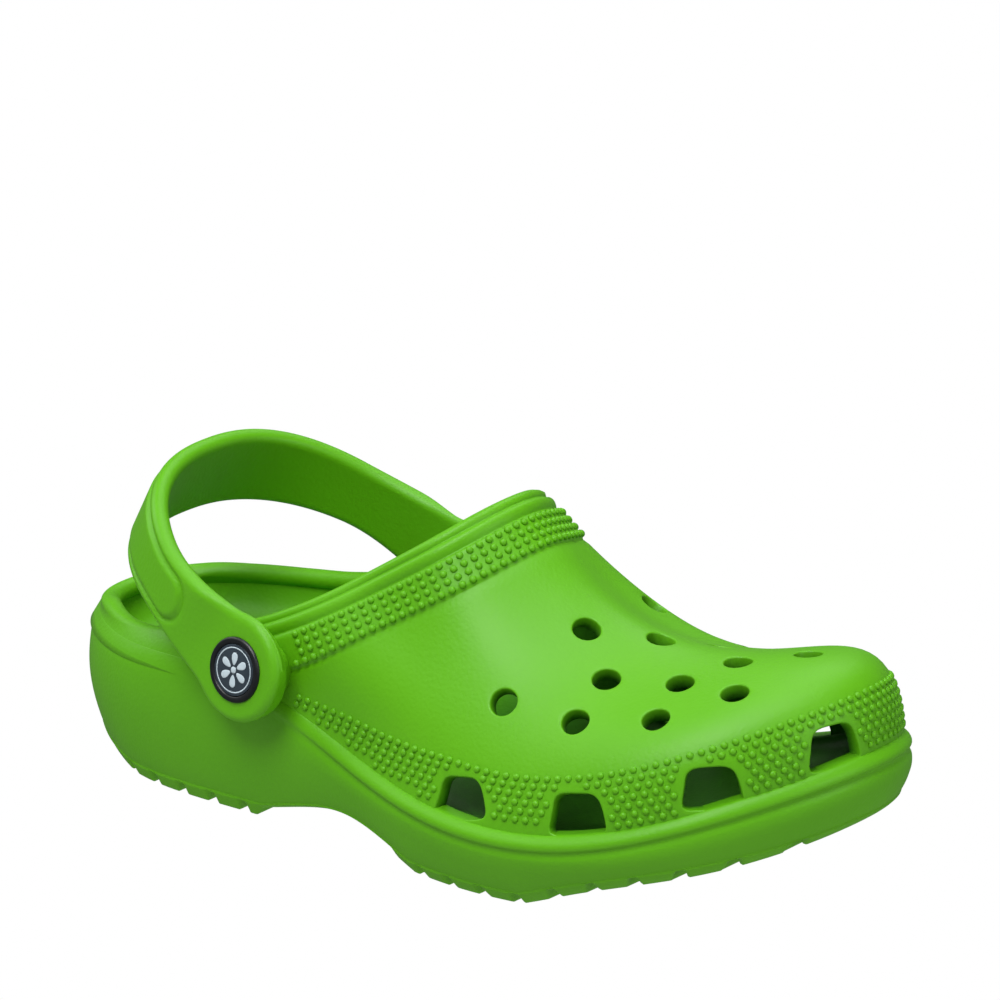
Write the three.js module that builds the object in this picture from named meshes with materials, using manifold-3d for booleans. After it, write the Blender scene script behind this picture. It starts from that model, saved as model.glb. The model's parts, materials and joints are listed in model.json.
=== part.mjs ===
// A moulded foam garden clog with a swinging heel strap, for the right foot.
// Millimetres, +X to the toe, +Y to the inner side of the foot, +Z up. The sole stands on z = 0,
// and the middle of the bounding box is over the origin.
// Pieces: the one-piece foam clog, the heel strap, and on each side a snap rivet, which is a stud with
// its cap, a badge disc let into the cap, and the socket that the stud snaps into inside the shoe.
import * as THREE from "three";
import { mergeVertices } from "three/addons/utils/BufferGeometryUtils.js";
import Module from "manifold-3d";

const wasm = await Module();
wasm.setup();

// ---- Driving sizes -------------------------------------------------------------------------------
const LENGTH = 263; // back of the heel to the tip of the toe
const WIDTH = 109; // widest line of the sole, across the ball of the foot
const HEIGHT = 97.2; // floor to the rim at the front of the opening

const WALL = 4.5; // upper's foam
const RIM_WALL = 5.6; // rolled rim of the foot opening
const HOLE_RADIUS = 4.1; // round vents in the top
const PORT_WIDTH = 16.8; // side vents, along their foot
const PORT_TOP_WIDTH = 12;
const PORT_HEIGHT = 11.4;
const PORT_LIFT = 0.4; // foot of a side vent above the sole's ledge
const TREAD_DEPTH = 3.2;
const TREAD_GROOVE = 2.8;
const TREAD_PITCH = 11.6;

const STRAP_REACH = 66.7; // pivot to the middle of the crown's thickness
const STRAP_WIDTH = 26; // at the back
const STRAP_NECK = 18.5; // width where the flare to an ear ends
const STRAP_FLARE = 8; // how much wider the band is where it meets an ear
const STRAP_FLARE_LENGTH = 42; // along the band
const STRAP_THICKNESS = 5.3;
const STRAP_SQUARENESS = 2.35; // exponent of the loop's superellipse
const STRAP_LIFT = 27.5; // degrees above level, pointing back
const EAR_RADIUS = 15;
const EAR_THICKNESS = 5.6; // at the pivot
const EAR_LEAN_UP = 9; // degrees that an ear's outer face leans up
const EAR_LEAN_BACK = 4; // and back

const PIVOT_STATION = 0.341; // share of the length, from the heel
const PIVOT_LEVEL = 0.497; // share of the height
const PAD_RADIUS = 11.5; // flat boss on the clog that an ear turns on
const PAD_PROUD = 2.7; // boss beyond the widest line of the sole
const PAD_DEPTH = 8.8; // foam that a rivet holds, from the boss to its seat inside the shoe
const STEM_RADIUS = 3.2;
const SOCKET_TUBE_RADIUS = 5;
const SOCKET_RADIUS = 9.5;
const SOCKET_THICKNESS = 2;
const SOCKET_TUBE_LENGTH = 8;
const CAP_RADIUS = 9.3;
const CAP_THICKNESS = 2.6;
const CAP_SUNK = 1.7; // depth of the cap in the ear
const BADGE_RADIUS = 7.3;
const BADGE_THICKNESS = 0.6;
const GAP = 0.3; // between pieces that sit in each other
const RUNNING_GAP = 0.2; // round the socket's tube, which turns in the clog

const STATIONS = 64; // steps round the shoe
const ROUND = 28; // sides of a round piece

// ---- The last: the shape of the shoe -------------------------------------------------------------
// Each row runs from the back of the heel along the outer side to the toe. The sizes are those of a
// shoe that measures DRAWN, and they stretch to LENGTH, WIDTH and HEIGHT.
const DRAWN = { length: 263, width: 109, height: 97.2 };
const LAST = {
  along: [0, 9, 40, 83, 123, 163, 203, 241, 263], // widest line of the sole
  outer: [0, 23, 42.5, 45.5, 49, 56.5, 52.5, 32.5, -11],
  inner: [0, 24.5, 42, 45, 44, 47, 53, 50, 11],
  widestHeight: [22, 22, 23, 24, 20, 16, 16.5, 26, 34],
  treadInset: [7, 6.5, 6, 5.5, 6, 7, 8, 6.5, 8.5],
  treadHeight: [9, 5, -0.5, -1, 9.5, -2.5, 5.5, 15.5, 22], // what lies below the floor is trimmed level
  ledgeInset: [2, 3, 3.5, 2, 2.5, 2.5, 2.5, 2.2, 2.5], // where the upper springs from the sole
  ledgeHeight: [40, 40, 41, 41, 30, 23, 24.5, 36, 44.5],
  bedInset: [12, 12, 11.5, 11, 10.5, 10, 10, 10, 11], // edge of the footbed
  bedHeight: [27.5, 27, 26.5, 25.5, 21.5, 18.5, 19.5, 28, 36],
  rimAlong: [6, 14.5, 42, 77, 102, 117.5, 134, 143, 145.5], // rim of the opening
  rimAside: [0, 22.5, 34, 39.5, 38.5, 32, 26, 13.8, 0],
  rimHeight: [43.8, 44.8, 46.5, 56, 67.5, 77, 88, 95, 97.2],
  innerRimHeight: [43.8, 43.7, 44.5, 51, 65.5, 77, 88, 95, 97.2],
  springIn: [1.4, 1.5, 1.5, 1, 3.5, 6, 4, 2, 3.5],
  innerSpringIn: [1.4, 1.5, 1.5, 1, 3.5, 7.5, 6.5, 5.5, 3.5], // handle of the upper's curve at the ledge
  springUp: [2, 2, 2, 4, 12, 21, 28.5, 43, 52],
  innerSpringUp: [2, 2, 2, 4, 10, 14, 19, 54.5, 52],
  crownAlong: [0, 0, 0, 0, 8, 23, 39, 54, 58.5],
  innerCrownAlong: [0, 0, 0, 0, 8, 23, 39, 58.5, 58.5], // handle of the upper's curve at the rim
  crownAside: [0, 2, 2, 5.5, 7.5, 8, 8, 4, 0],
  crownDown: [2, 2, 2, 6, 11, 24.5, 45.5, 64.5, 69.5],
  innerCrownDown: [2, 2, 2, 6, 10, 20, 36.5, 76.5, 69.5],
};
const along = (v) => (v * LENGTH) / DRAWN.length;
const aside = (v) => (v * WIDTH) / DRAWN.width;
const high = (v) => (v * HEIGHT) / DRAWN.height;

// A smooth closed curve through values spaced evenly over s = 0 to 1.
function closedSpline(values) {
  const n = values.length;
  const at = (list, k) => list[(k + n) % n];
  let slope = values.map(() => 0);
  for (let pass = 0; pass < 50; pass++)
    slope = slope.map(
      (_, k) => (3 * (at(values, k + 1) - at(values, k - 1)) - at(slope, k - 1) - at(slope, k + 1)) / 4,
    );
  return (s) => {
    const x = (((s % 1) + 1) % 1) * n;
    const k = Math.floor(x) % n;
    const t = x - Math.floor(x);
    const [a, b] = [at(values, k), at(values, k + 1)];
    const [p, q] = [at(slope, k), at(slope, k + 1)];
    return (
      (2 * t ** 3 - 3 * t ** 2 + 1) * a +
      (t ** 3 - 2 * t ** 2 + t) * p +
      (3 * t ** 2 - 2 * t ** 3) * b +
      (t ** 3 - t ** 2) * q
    );
  };
}
// Heel to toe along the outer side, and back along the inner one, whose row may be its own.
const roundShoe = (outer, inner = outer) => closedSpline([...outer, ...inner.slice(1, 8).reverse()]);
const sideways = (outer, inner = outer) => roundShoe(outer.map((v) => -aside(v)), inner.map(aside));

const outlineX = roundShoe(LAST.along.map(along));
const outlineY = sideways(LAST.outer, LAST.inner);
const rimX = roundShoe(LAST.rimAlong.map(along));
const rimY = sideways(LAST.rimAside);
const rimZ = roundShoe(LAST.rimHeight.map(high), LAST.innerRimHeight.map(high));
const crownX = roundShoe(LAST.crownAlong.map(along), LAST.innerCrownAlong.map(along));
const crownY = sideways(LAST.crownAside);
const rows = {};
rows.springUp = roundShoe(LAST.springUp.map(high), LAST.innerSpringUp.map(high));
rows.crownDown = roundShoe(LAST.crownDown.map(high), LAST.innerCrownDown.map(high));
for (const name of ["widestHeight", "treadHeight", "ledgeHeight", "bedHeight"])
  rows[name] = roundShoe(LAST[name].map(high));
rows.springIn = roundShoe(LAST.springIn.map(aside), LAST.innerSpringIn.map(aside));
for (const name of ["treadInset", "ledgeInset", "bedInset"])
  rows[name] = roundShoe(LAST[name].map(aside));

// Outward direction of the sole's outline, level.
function outward(s) {
  const step = 1e-4;
  const dx = outlineX(s + step) - outlineX(s - step);
  const dy = outlineY(s + step) - outlineY(s - step);
  return new THREE.Vector3(dy, -dx, 0).normalize();
}
// A point at s round the sole, so far in from its widest line and at a height.
function inset(s, distance, z) {
  return new THREE.Vector3(outlineX(s), outlineY(s), z).addScaledVector(outward(s), -distance);
}
const ledge = (s) => inset(s, rows.ledgeInset(s), rows.ledgeHeight(s));
const rim = (s) => new THREE.Vector3(rimX(s), rimY(s), rimZ(s));
// The upper at s springs from the ledge (t = 0) and runs to the rim (t = 1).
function upper(s, t) {
  const foot = ledge(s);
  const top = rim(s);
  const spring = foot.clone().addScaledVector(outward(s), -rows.springIn(s));
  spring.z += rows.springUp(s);
  const crown = top.clone().add(new THREE.Vector3(crownX(s), crownY(s), -rows.crownDown(s)));
  return new THREE.CubicBezierCurve3(foot, spring, crown, top).getPoint(t);
}
function upperNormal(s, t) {
  const step = 2e-3;
  const [low, up] = [Math.max(t - step, 0), Math.min(t + step, 1)];
  const round = upper(s + step, t).sub(upper(s - step, t));
  return round.cross(upper(s, up).sub(upper(s, low))).normalize();
}

// ---- Solids --------------------------------------------------------------------------------------
function toManifold(geometry) {
  const bare = geometry.clone();
  bare.deleteAttribute("normal");
  bare.deleteAttribute("uv");
  const merged = mergeVertices(bare, 1e-4);
  return new wasm.Manifold(
    new wasm.Mesh({
      numProp: 3,
      vertProperties: new Float32Array(merged.attributes.position.array),
      triVerts: new Uint32Array(merged.index.array),
    }),
  );
}
function toGeometry(solid) {
  const mesh = solid.getMesh();
  const geometry = new THREE.BufferGeometry();
  geometry.setAttribute("position", new THREE.BufferAttribute(new Float32Array(mesh.vertProperties), 3));
  geometry.setIndex(new THREE.BufferAttribute(new Uint32Array(mesh.triVerts), 1));
  geometry.computeVertexNormals();
  return geometry;
}
// The biggest of a solid's bodies, without the crumbs that cuts may leave.
function largest(solid) {
  return solid.decompose().reduce((a, b) => (a.volume() > b.volume() ? a : b));
}
// A skin over closed loops of equal length. Each end loop is closed by rungs from its point i to its
// point n - i, so an end that is level across the shoe comes out flat.
function loft(loops) {
  const n = loops[0].length;
  const position = loops.flat().flatMap((p) => [p.x, p.y, p.z]);
  const index = [];
  for (let row = 0; row + 1 < loops.length; row++)
    for (let i = 0; i < n; i++) {
      const [a, b] = [row * n + i, row * n + ((i + 1) % n)];
      index.push(a, b, a + n, b, b + n, a + n);
    }
  const close = (start, up) => {
    for (let i = 0; i < n / 2; i++) {
      const [a, b] = [start + i, start + i + 1];
      const [c, d] = [start + ((n - i) % n), start + n - i - 1];
      if (i > 0) index.push(...(up ? [a, b, c] : [a, c, b]));
      if (b !== d) index.push(...(up ? [b, d, c] : [b, c, d]));
    }
  };
  close(0, false);
  close((loops.length - 1) * n, true);
  const geometry = new THREE.BufferGeometry();
  geometry.setAttribute("position", new THREE.Float32BufferAttribute(position, 3));
  geometry.setIndex(index);
  return geometry;
}
// A round bar from a point, along a direction.
function bar(radius, length, from, direction) {
  const geometry = new THREE.CylinderGeometry(radius, radius, length, ROUND);
  const turn = new THREE.Quaternion().setFromUnitVectors(new THREE.Vector3(0, 1, 0), direction);
  geometry.applyQuaternion(turn);
  const middle = from.clone().addScaledVector(direction, length / 2);
  geometry.translate(middle.x, middle.y, middle.z);
  return toManifold(geometry);
}
function block(sizeX, sizeY, sizeZ, x, y, z) {
  return toManifold(new THREE.BoxGeometry(sizeX, sizeY, sizeZ).translate(x, y, z));
}

// ---- Where the strap turns -----------------------------------------------------------------------
function stationAt(x, curve) {
  let [low, up] = [0, 0.5];
  for (let pass = 0; pass < 40; pass++) {
    const middle = (low + up) / 2;
    if (curve(middle) < x) low = middle;
    else up = middle;
  }
  return low;
}
const pivotX = PIVOT_STATION * LENGTH;
const pivotZ = PIVOT_LEVEL * HEIGHT;
const padY = -outlineY(stationAt(pivotX, outlineX)) + PAD_PROUD;
const earY = padY + GAP; // inner face of an ear
const seatY = padY - PAD_DEPTH; // flat inside the wall that a socket's flange lies on
const OUT = new THREE.Vector3(0, -1, 0); // out of the shoe, on the outer side
const capDirection = new THREE.Vector3(
  -Math.tan(THREE.MathUtils.degToRad(EAR_LEAN_BACK)),
  -1,
  Math.tan(THREE.MathUtils.degToRad(EAR_LEAN_UP)),
).normalize();
const onAxis = (y) => new THREE.Vector3(pivotX, -y, pivotZ);

// ---- The clog ------------------------------------------------------------------------------------
const HOLES = [
  [0.457, 0.781],
  [0.495, 0.697],
  [0.595, 0.747],
  [0.433, 0.639],
  [0.457, 0.534],
  [0.365, 0.576],
  [0.396, 0.488],
  [0.428, 0.407],
  [0.462, 0.385],
  [0.491, 0.515],
  [0.532, 0.621],
  [0.514, 0.395],
  [0.58, 0.521],
]; // [s round the shoe, t up the upper] of each round vent
const PORTS = [0.3201, 0.3787, 0.4338, 0.4799, 0.555, 0.612, 0.668]; // s of each side vent

function shell() {
  const round = Array.from({ length: STATIONS }, (_, i) => i / STATIONS);
  const loop = (point) => round.map(point);
  const tread = (s) => Math.max(rows.treadHeight(s), 0); // flat where it stands on the floor
  const outside = [
    loop((s) => inset(s, rows.treadInset(s), tread(s))),
    loop((s) => inset(s, rows.treadInset(s) * 0.4, tread(s) + (rows.widestHeight(s) - tread(s)) * 0.35)),
    loop((s) => inset(s, 0, rows.widestHeight(s))),
    loop((s) => inset(s, 0.4, (rows.widestHeight(s) + 2 * rows.ledgeHeight(s)) / 3)),
    ...[0, 0.12, 0.25, 0.4, 0.55, 0.7, 0.85, 1].map((t) => loop((s) => upper(s, t))),
  ];
  const lining = (s, t) => upper(s, t).addScaledVector(upperNormal(s, t), -WALL);
  const innerRim = (s) => {
    const level = new THREE.Vector3(rimY(s + 1e-3) - rimY(s - 1e-3), rimX(s - 1e-3) - rimX(s + 1e-3), 0);
    return rim(s).addScaledVector(level.normalize(), -RIM_WALL);
  };
  const inside = [
    loop(innerRim),
    ...[0.9, 0.75, 0.6, 0.45, 0.3, 0.15].map((t) => loop((s) => lining(s, t))),
    loop((s) => inset(s, rows.bedInset(s) - 2, rows.bedHeight(s) + 3)),
    loop((s) => inset(s, rows.bedInset(s) + 2, rows.bedHeight(s))),
  ];
  return toManifold(loft([...outside, ...inside]));
}
function vents() {
  const reach = 3 * WALL;
  return HOLES.map(([s, t]) => {
    const direction = upperNormal(s, t);
    const from = upper(s, t).addScaledVector(direction, -reach);
    return bar(HOLE_RADIUS, 1.8 * reach, from, direction);
  });
}
function sidePorts() {
  const outline = new THREE.Shape();
  const [foot, top] = [PORT_WIDTH / 2, PORT_TOP_WIDTH / 2];
  outline.moveTo(-foot, PORT_LIFT);
  outline.lineTo(foot, PORT_LIFT);
  outline.quadraticCurveTo(top + 1, PORT_HEIGHT, top - 2, PORT_HEIGHT);
  outline.lineTo(2 - top, PORT_HEIGHT);
  outline.quadraticCurveTo(-top - 1, PORT_HEIGHT, -foot, PORT_LIFT);
  const depth = 5 * WALL;
  return PORTS.map((s) => {
    const geometry = new THREE.ExtrudeGeometry(outline, { depth, bevelEnabled: false, curveSegments: 5 });
    const out = outward(s);
    const up = new THREE.Vector3(0, 0, 1);
    const basis = new THREE.Matrix4().makeBasis(up.clone().cross(out), up, out);
    const from = ledge(s).addScaledVector(out, 2 * WALL - depth);
    geometry.applyMatrix4(basis.setPosition(from));
    return toManifold(geometry);
  });
}
function treadGrooves() {
  const grooves = [];
  for (let x = TREAD_PITCH; x < LENGTH; x += TREAD_PITCH) {
    const s = stationAt(x, outlineX);
    const overArch = x > 0.33 * LENGTH && x < 0.5 * LENGTH;
    if (!overArch)
      grooves.push(
        block(TREAD_GROOVE, 2 * WIDTH, 2 * TREAD_DEPTH, x, 0, Math.max(rows.treadHeight(s), 0)),
      );
  }
  return grooves;
}
function clogBody() {
  let clog = shell();
  for (const side of [-1, 1]) {
    const direction = OUT.clone().multiplyScalar(-side);
    const at = (y) => new THREE.Vector3(pivotX, side * y, pivotZ);
    clog = clog
      .add(bar(PAD_RADIUS, PAD_DEPTH, at(seatY), direction))
      .subtract(bar(SOCKET_RADIUS + GAP, WIDTH / 4, at(seatY - WIDTH / 4), direction))
      .subtract(bar(SOCKET_TUBE_RADIUS + RUNNING_GAP, WIDTH / 2, at(seatY - 1), direction));
  }
  for (const cut of [...vents(), ...sidePorts(), ...treadGrooves()]) clog = clog.subtract(cut);
  return toGeometry(largest(clog));
}

// ---- The heel strap ------------------------------------------------------------------------------
// The loop lies along -X before it is lifted: u is the way back from the pivot.
function strapPath(steps) {
  const half = earY + STRAP_THICKNESS / 2;
  const power = 2 / STRAP_SQUARENESS;
  const fine = Array.from({ length: 721 }, (_, i) => {
    const angle = (Math.PI * i) / 720;
    const across = Math.cos(angle);
    return new THREE.Vector3(
      -STRAP_REACH * Math.sin(angle) ** power,
      -half * Math.sign(across) * Math.abs(across) ** power,
      0,
    );
  });
  return new THREE.CatmullRomCurve3(fine).getSpacedPoints(steps);
}
function strapBand() {
  const path = strapPath(48);
  const ends = path[0].y;
  const bandLength = path.slice(1).reduce((sum, point, i) => sum + point.distanceTo(path[i]), 0);
  const h = STRAP_THICKNESS / 2;
  const chamfer = STRAP_THICKNESS * 0.28;
  const section = (w) => [
    [-w, -h + chamfer],
    [-w, h - chamfer],
    [-w + chamfer, h],
    [w - chamfer, h],
    [w, h - chamfer],
    [w, -h + chamfer],
    [w - chamfer, -h],
    [-w + chamfer, -h],
  ];
  const loops = path.map((point, i) => {
    const way = path[Math.min(i + 1, path.length - 1)].clone().sub(path[Math.max(i - 1, 0)]).normalize();
    const out = new THREE.Vector3(way.y, -way.x, 0);
    const toBack = 1 - Math.abs(point.y / ends) ** STRAP_SQUARENESS;
    const fromEar = (Math.min(i, path.length - 1 - i) * bandLength) / (path.length - 1);
    const flare = STRAP_FLARE * (1 - THREE.MathUtils.smoothstep(fromEar, 0, STRAP_FLARE_LENGTH));
    const half = (STRAP_NECK + flare + (STRAP_WIDTH - STRAP_NECK) * toBack) / 2;
    return section(half).map(([z, o]) => point.clone().addScaledVector(out, -o).setZ(z));
  });
  return toManifold(loft(loops));
}
function heelStrap() {
  const lift = new THREE.Matrix4().makeRotationY(THREE.MathUtils.degToRad(STRAP_LIFT));
  const place = new THREE.Matrix4().makeTranslation(pivotX, 0, pivotZ).multiply(lift);
  let strap = strapBand().transform(place.elements);
  const face = earY + EAR_THICKNESS;
  for (const side of [-1, 1]) {
    const turned = (v) => new THREE.Vector3(v.x, -side * v.y, v.z);
    const direction = turned(OUT);
    const lean = turned(capDirection);
    const at = (y) => new THREE.Vector3(pivotX, side * y, pivotZ);
    const slice = bar(3 * EAR_RADIUS, 3 * EAR_THICKNESS, at(face), lean);
    strap = strap
      .add(bar(EAR_RADIUS, 2 * EAR_THICKNESS, at(earY), direction))
      .subtract(slice)
      .subtract(bar(CAP_RADIUS + GAP, CAP_THICKNESS * 3, at(face).addScaledVector(lean, -CAP_SUNK - GAP), lean))
      .subtract(bar(STEM_RADIUS + GAP, 2 * EAR_THICKNESS, at(earY - 1), direction))
      .subtract(bar(PAD_RADIUS * 1.6, WIDTH / 4, at(earY - WIDTH / 4), direction));
  }
  return toGeometry(strap);
}

// ---- The snap rivets, drawn on the outer side ----------------------------------------------------
function rivetStud() {
  const face = onAxis(earY + EAR_THICKNESS);
  const back = face.clone().addScaledVector(capDirection, -CAP_SUNK);
  const cap = bar(CAP_RADIUS, CAP_THICKNESS, back, capDirection);
  const tip = seatY + GAP;
  const stem = bar(STEM_RADIUS, earY + EAR_THICKNESS - CAP_SUNK + 1 - tip, onAxis(tip), OUT);
  const front = face.clone().addScaledVector(capDirection, CAP_THICKNESS - CAP_SUNK);
  const recess = BADGE_THICKNESS + GAP;
  const well = bar(
    BADGE_RADIUS + GAP,
    3 * recess,
    front.clone().addScaledVector(capDirection, -recess),
    capDirection,
  );
  return toGeometry(cap.add(stem).subtract(well));
}
function badge() {
  const back = onAxis(earY + EAR_THICKNESS).addScaledVector(
    capDirection,
    CAP_THICKNESS - CAP_SUNK - BADGE_THICKNESS,
  );
  return toGeometry(bar(BADGE_RADIUS, BADGE_THICKNESS, back, capDirection));
}
function rivetSocket() {
  const flange = bar(SOCKET_RADIUS, SOCKET_THICKNESS, onAxis(seatY - GAP - SOCKET_THICKNESS), OUT);
  const tube = bar(SOCKET_TUBE_RADIUS, SOCKET_TUBE_LENGTH, onAxis(seatY - GAP - 0.5), OUT);
  const bore = bar(STEM_RADIUS + GAP, 2 * SOCKET_TUBE_LENGTH, onAxis(seatY - GAP), OUT);
  return toGeometry(flange.add(tube).subtract(bore));
}

// ---- Assembly ------------------------------------------------------------------------------------
const foam = new THREE.MeshStandardMaterial({ color: 0x4fae1f, roughness: 0.5, metalness: 0 });
const blackPlastic = new THREE.MeshStandardMaterial({ color: 0x111714, roughness: 0.35, metalness: 0 });
const greyPrint = new THREE.MeshStandardMaterial({ color: 0x2b3338, roughness: 0.3, metalness: 0 });

function node(name, geometry, material) {
  const mesh = new THREE.Mesh(geometry, material);
  mesh.name = name;
  return mesh;
}
const clog = new THREE.Group();
clog.add(node("clog_body", clogBody(), foam), node("heel_strap", heelStrap(), foam));
for (const side of ["outer", "inner"]) {
  const rivet = new THREE.Group();
  rivet.scale.y = side === "outer" ? 1 : -1;
  rivet.add(
    node(`${side}_rivet_stud`, rivetStud(), blackPlastic),
    node(`${side}_rivet_badge`, badge(), greyPrint),
    node(`${side}_rivet_socket`, rivetSocket(), blackPlastic),
  );
  clog.add(rivet);
}
const box = new THREE.Box3().setFromObject(clog, true);
clog.position.set(-(box.min.x + box.max.x) / 2, -(box.min.y + box.max.y) / 2, 0);

const part = new THREE.Group();
part.add(clog);
export default part;
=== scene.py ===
"""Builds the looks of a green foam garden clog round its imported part.

Lengths inside the shape classes are millimetres in the shoe's own frame: x runs from the heel to the
toe, y points to the inner side and z is up from the floor. Meshes are made in metres, in the frame.
"""

from __future__ import annotations

import json
import logging
import math
from dataclasses import dataclass, field
from enum import Enum
from typing import Callable, Sequence

import bmesh
import bpy
import numpy as np
from mathutils import Vector
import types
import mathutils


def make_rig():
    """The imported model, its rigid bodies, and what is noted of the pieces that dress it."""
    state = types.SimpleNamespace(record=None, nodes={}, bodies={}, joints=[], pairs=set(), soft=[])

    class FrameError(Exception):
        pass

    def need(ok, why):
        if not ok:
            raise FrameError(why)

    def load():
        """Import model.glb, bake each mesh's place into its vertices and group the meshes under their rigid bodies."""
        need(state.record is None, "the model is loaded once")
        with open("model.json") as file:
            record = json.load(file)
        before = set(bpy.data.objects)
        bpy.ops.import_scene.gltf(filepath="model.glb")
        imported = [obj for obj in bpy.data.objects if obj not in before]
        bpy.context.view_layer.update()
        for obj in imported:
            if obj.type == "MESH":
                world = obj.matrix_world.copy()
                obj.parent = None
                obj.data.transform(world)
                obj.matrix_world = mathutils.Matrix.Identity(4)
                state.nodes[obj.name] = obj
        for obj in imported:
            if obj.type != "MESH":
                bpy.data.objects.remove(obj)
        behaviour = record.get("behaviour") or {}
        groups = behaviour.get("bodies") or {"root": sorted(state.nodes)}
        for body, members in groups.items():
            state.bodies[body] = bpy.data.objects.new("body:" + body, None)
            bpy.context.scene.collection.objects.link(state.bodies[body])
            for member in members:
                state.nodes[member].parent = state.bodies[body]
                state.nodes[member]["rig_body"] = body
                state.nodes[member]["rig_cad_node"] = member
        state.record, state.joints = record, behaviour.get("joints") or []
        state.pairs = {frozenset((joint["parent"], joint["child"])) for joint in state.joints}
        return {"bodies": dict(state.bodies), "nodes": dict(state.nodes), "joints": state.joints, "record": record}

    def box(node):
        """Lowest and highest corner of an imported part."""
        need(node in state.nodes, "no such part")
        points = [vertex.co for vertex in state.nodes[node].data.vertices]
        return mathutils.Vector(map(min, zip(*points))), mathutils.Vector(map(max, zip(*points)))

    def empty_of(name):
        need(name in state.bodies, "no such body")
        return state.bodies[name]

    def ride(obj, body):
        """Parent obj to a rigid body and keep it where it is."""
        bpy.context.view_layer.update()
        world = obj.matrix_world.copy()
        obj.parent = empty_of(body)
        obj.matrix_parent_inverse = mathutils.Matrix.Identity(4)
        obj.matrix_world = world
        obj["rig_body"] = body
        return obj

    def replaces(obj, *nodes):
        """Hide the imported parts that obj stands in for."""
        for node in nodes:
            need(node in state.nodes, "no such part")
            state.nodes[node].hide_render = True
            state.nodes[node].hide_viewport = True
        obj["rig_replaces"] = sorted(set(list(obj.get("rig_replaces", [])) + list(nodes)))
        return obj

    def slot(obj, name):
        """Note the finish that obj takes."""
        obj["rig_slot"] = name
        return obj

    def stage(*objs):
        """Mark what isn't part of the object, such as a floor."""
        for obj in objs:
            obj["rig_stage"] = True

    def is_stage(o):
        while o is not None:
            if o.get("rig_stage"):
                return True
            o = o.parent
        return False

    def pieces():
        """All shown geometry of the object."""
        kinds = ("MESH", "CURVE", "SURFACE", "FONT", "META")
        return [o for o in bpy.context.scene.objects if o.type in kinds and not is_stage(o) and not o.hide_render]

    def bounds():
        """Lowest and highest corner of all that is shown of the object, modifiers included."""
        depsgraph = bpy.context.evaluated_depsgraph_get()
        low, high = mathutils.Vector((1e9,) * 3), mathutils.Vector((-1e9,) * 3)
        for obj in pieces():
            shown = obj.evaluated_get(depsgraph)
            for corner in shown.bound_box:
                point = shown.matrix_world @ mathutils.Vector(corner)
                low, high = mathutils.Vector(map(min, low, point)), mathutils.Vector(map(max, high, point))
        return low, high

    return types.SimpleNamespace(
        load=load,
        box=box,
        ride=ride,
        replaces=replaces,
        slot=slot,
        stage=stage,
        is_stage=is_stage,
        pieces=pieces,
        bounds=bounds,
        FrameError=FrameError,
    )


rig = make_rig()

log = logging.getLogger("clog")
Row = tuple[float, ...]
Along = Callable[[np.ndarray], np.ndarray]
Profile = list[tuple[float, float]]  # distances from a line and along it
MM = 0.001


# ---- Curves and the last -------------------------------------------------------------------------
def cubic(
    t: np.ndarray, a: np.ndarray, b: np.ndarray, rise_a: np.ndarray, rise_b: np.ndarray
) -> np.ndarray:
    """Cubic from a to b that leaves and arrives with given slopes.

    Args:
        t: Places from 0 to 1.
        a: Value at 0.
        b: Value at 1.
        rise_a: Slope at 0, over the whole step.
        rise_b: Slope at 1.

    Returns:
        The values.
    """
    start = (2 * t**3 - 3 * t**2 + 1) * a + (t**3 - 2 * t**2 + t) * rise_a
    return start + (3 * t**2 - 2 * t**3) * b + (t**3 - t**2) * rise_b


def bend(t: np.ndarray, a: np.ndarray, b: np.ndarray, c: np.ndarray, d: np.ndarray) -> np.ndarray:
    """Cubic with four control values.

    Args:
        t: Places from 0 to 1.
        a: First control value.
        b: Second.
        c: Third.
        d: Last.

    Returns:
        The values.
    """
    return (1 - t) ** 3 * a + 3 * (1 - t) ** 2 * t * b + 3 * (1 - t) * t**2 * c + t**3 * d


class ClosedSpline:
    """A smooth closed curve through values that are evenly spaced over s = 0 to 1."""

    def __init__(self, values: Sequence[float]) -> None:
        """Solve for the slopes that join the cubic pieces with even curvature.

        Args:
            values: The curve's value at each station.
        """
        self.values = np.asarray(values, float)
        one = np.eye(len(values))
        system = 4 * one + np.roll(one, 1, axis=1) + np.roll(one, -1, axis=1)
        rise = np.roll(self.values, -1) - np.roll(self.values, 1)
        self.slopes = np.linalg.solve(system, 3 * rise)

    def __call__(self, s: np.ndarray) -> np.ndarray:
        """Value of the curve.

        Args:
            s: Places round the curve; one turn is 1.

        Returns:
            The cubic blend of the two nearest stations.
        """
        x = np.mod(s, 1.0) * len(self.values)
        k = np.floor(x).astype(int) % len(self.values)
        t = x - np.floor(x)
        j = (k + 1) % len(self.values)
        return cubic(t, self.values[k], self.values[j], self.slopes[k], self.slopes[j])


def round_shoe(outer: Row, inner: Row | None = None) -> ClosedSpline:
    """Curve from the heel along the outer side to the toe, and back along the inner side.

    Args:
        outer: Values of the nine stations of the outer side.
        inner: Values of the inner side, where they differ.

    Returns:
        The closed curve.
    """
    back = outer if inner is None else inner
    return ClosedSpline([*outer, *back[7:0:-1]])


def sideways(outer: Row, inner: Row | None = None) -> ClosedSpline:
    """The same for distances from the middle line, which are negative on the outer side.

    Args:
        outer: Distances on the outer side.
        inner: Distances on the inner side, where they differ.

    Returns:
        The closed curve.
    """
    back = outer if inner is None else inner
    return ClosedSpline([*(-v for v in outer), *back[7:0:-1]])


def smooth(x: np.ndarray, low: float, high: float) -> np.ndarray:
    """Smooth step from 0 at low to 1 at high.

    Args:
        x: Where to take it.
        low: Where the step starts.
        high: Where it ends; it may be under low.

    Returns:
        Values from 0 to 1.
    """
    t = np.clip((x - low) / (high - low), 0, 1)
    return t * t * (3 - 2 * t)


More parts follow.
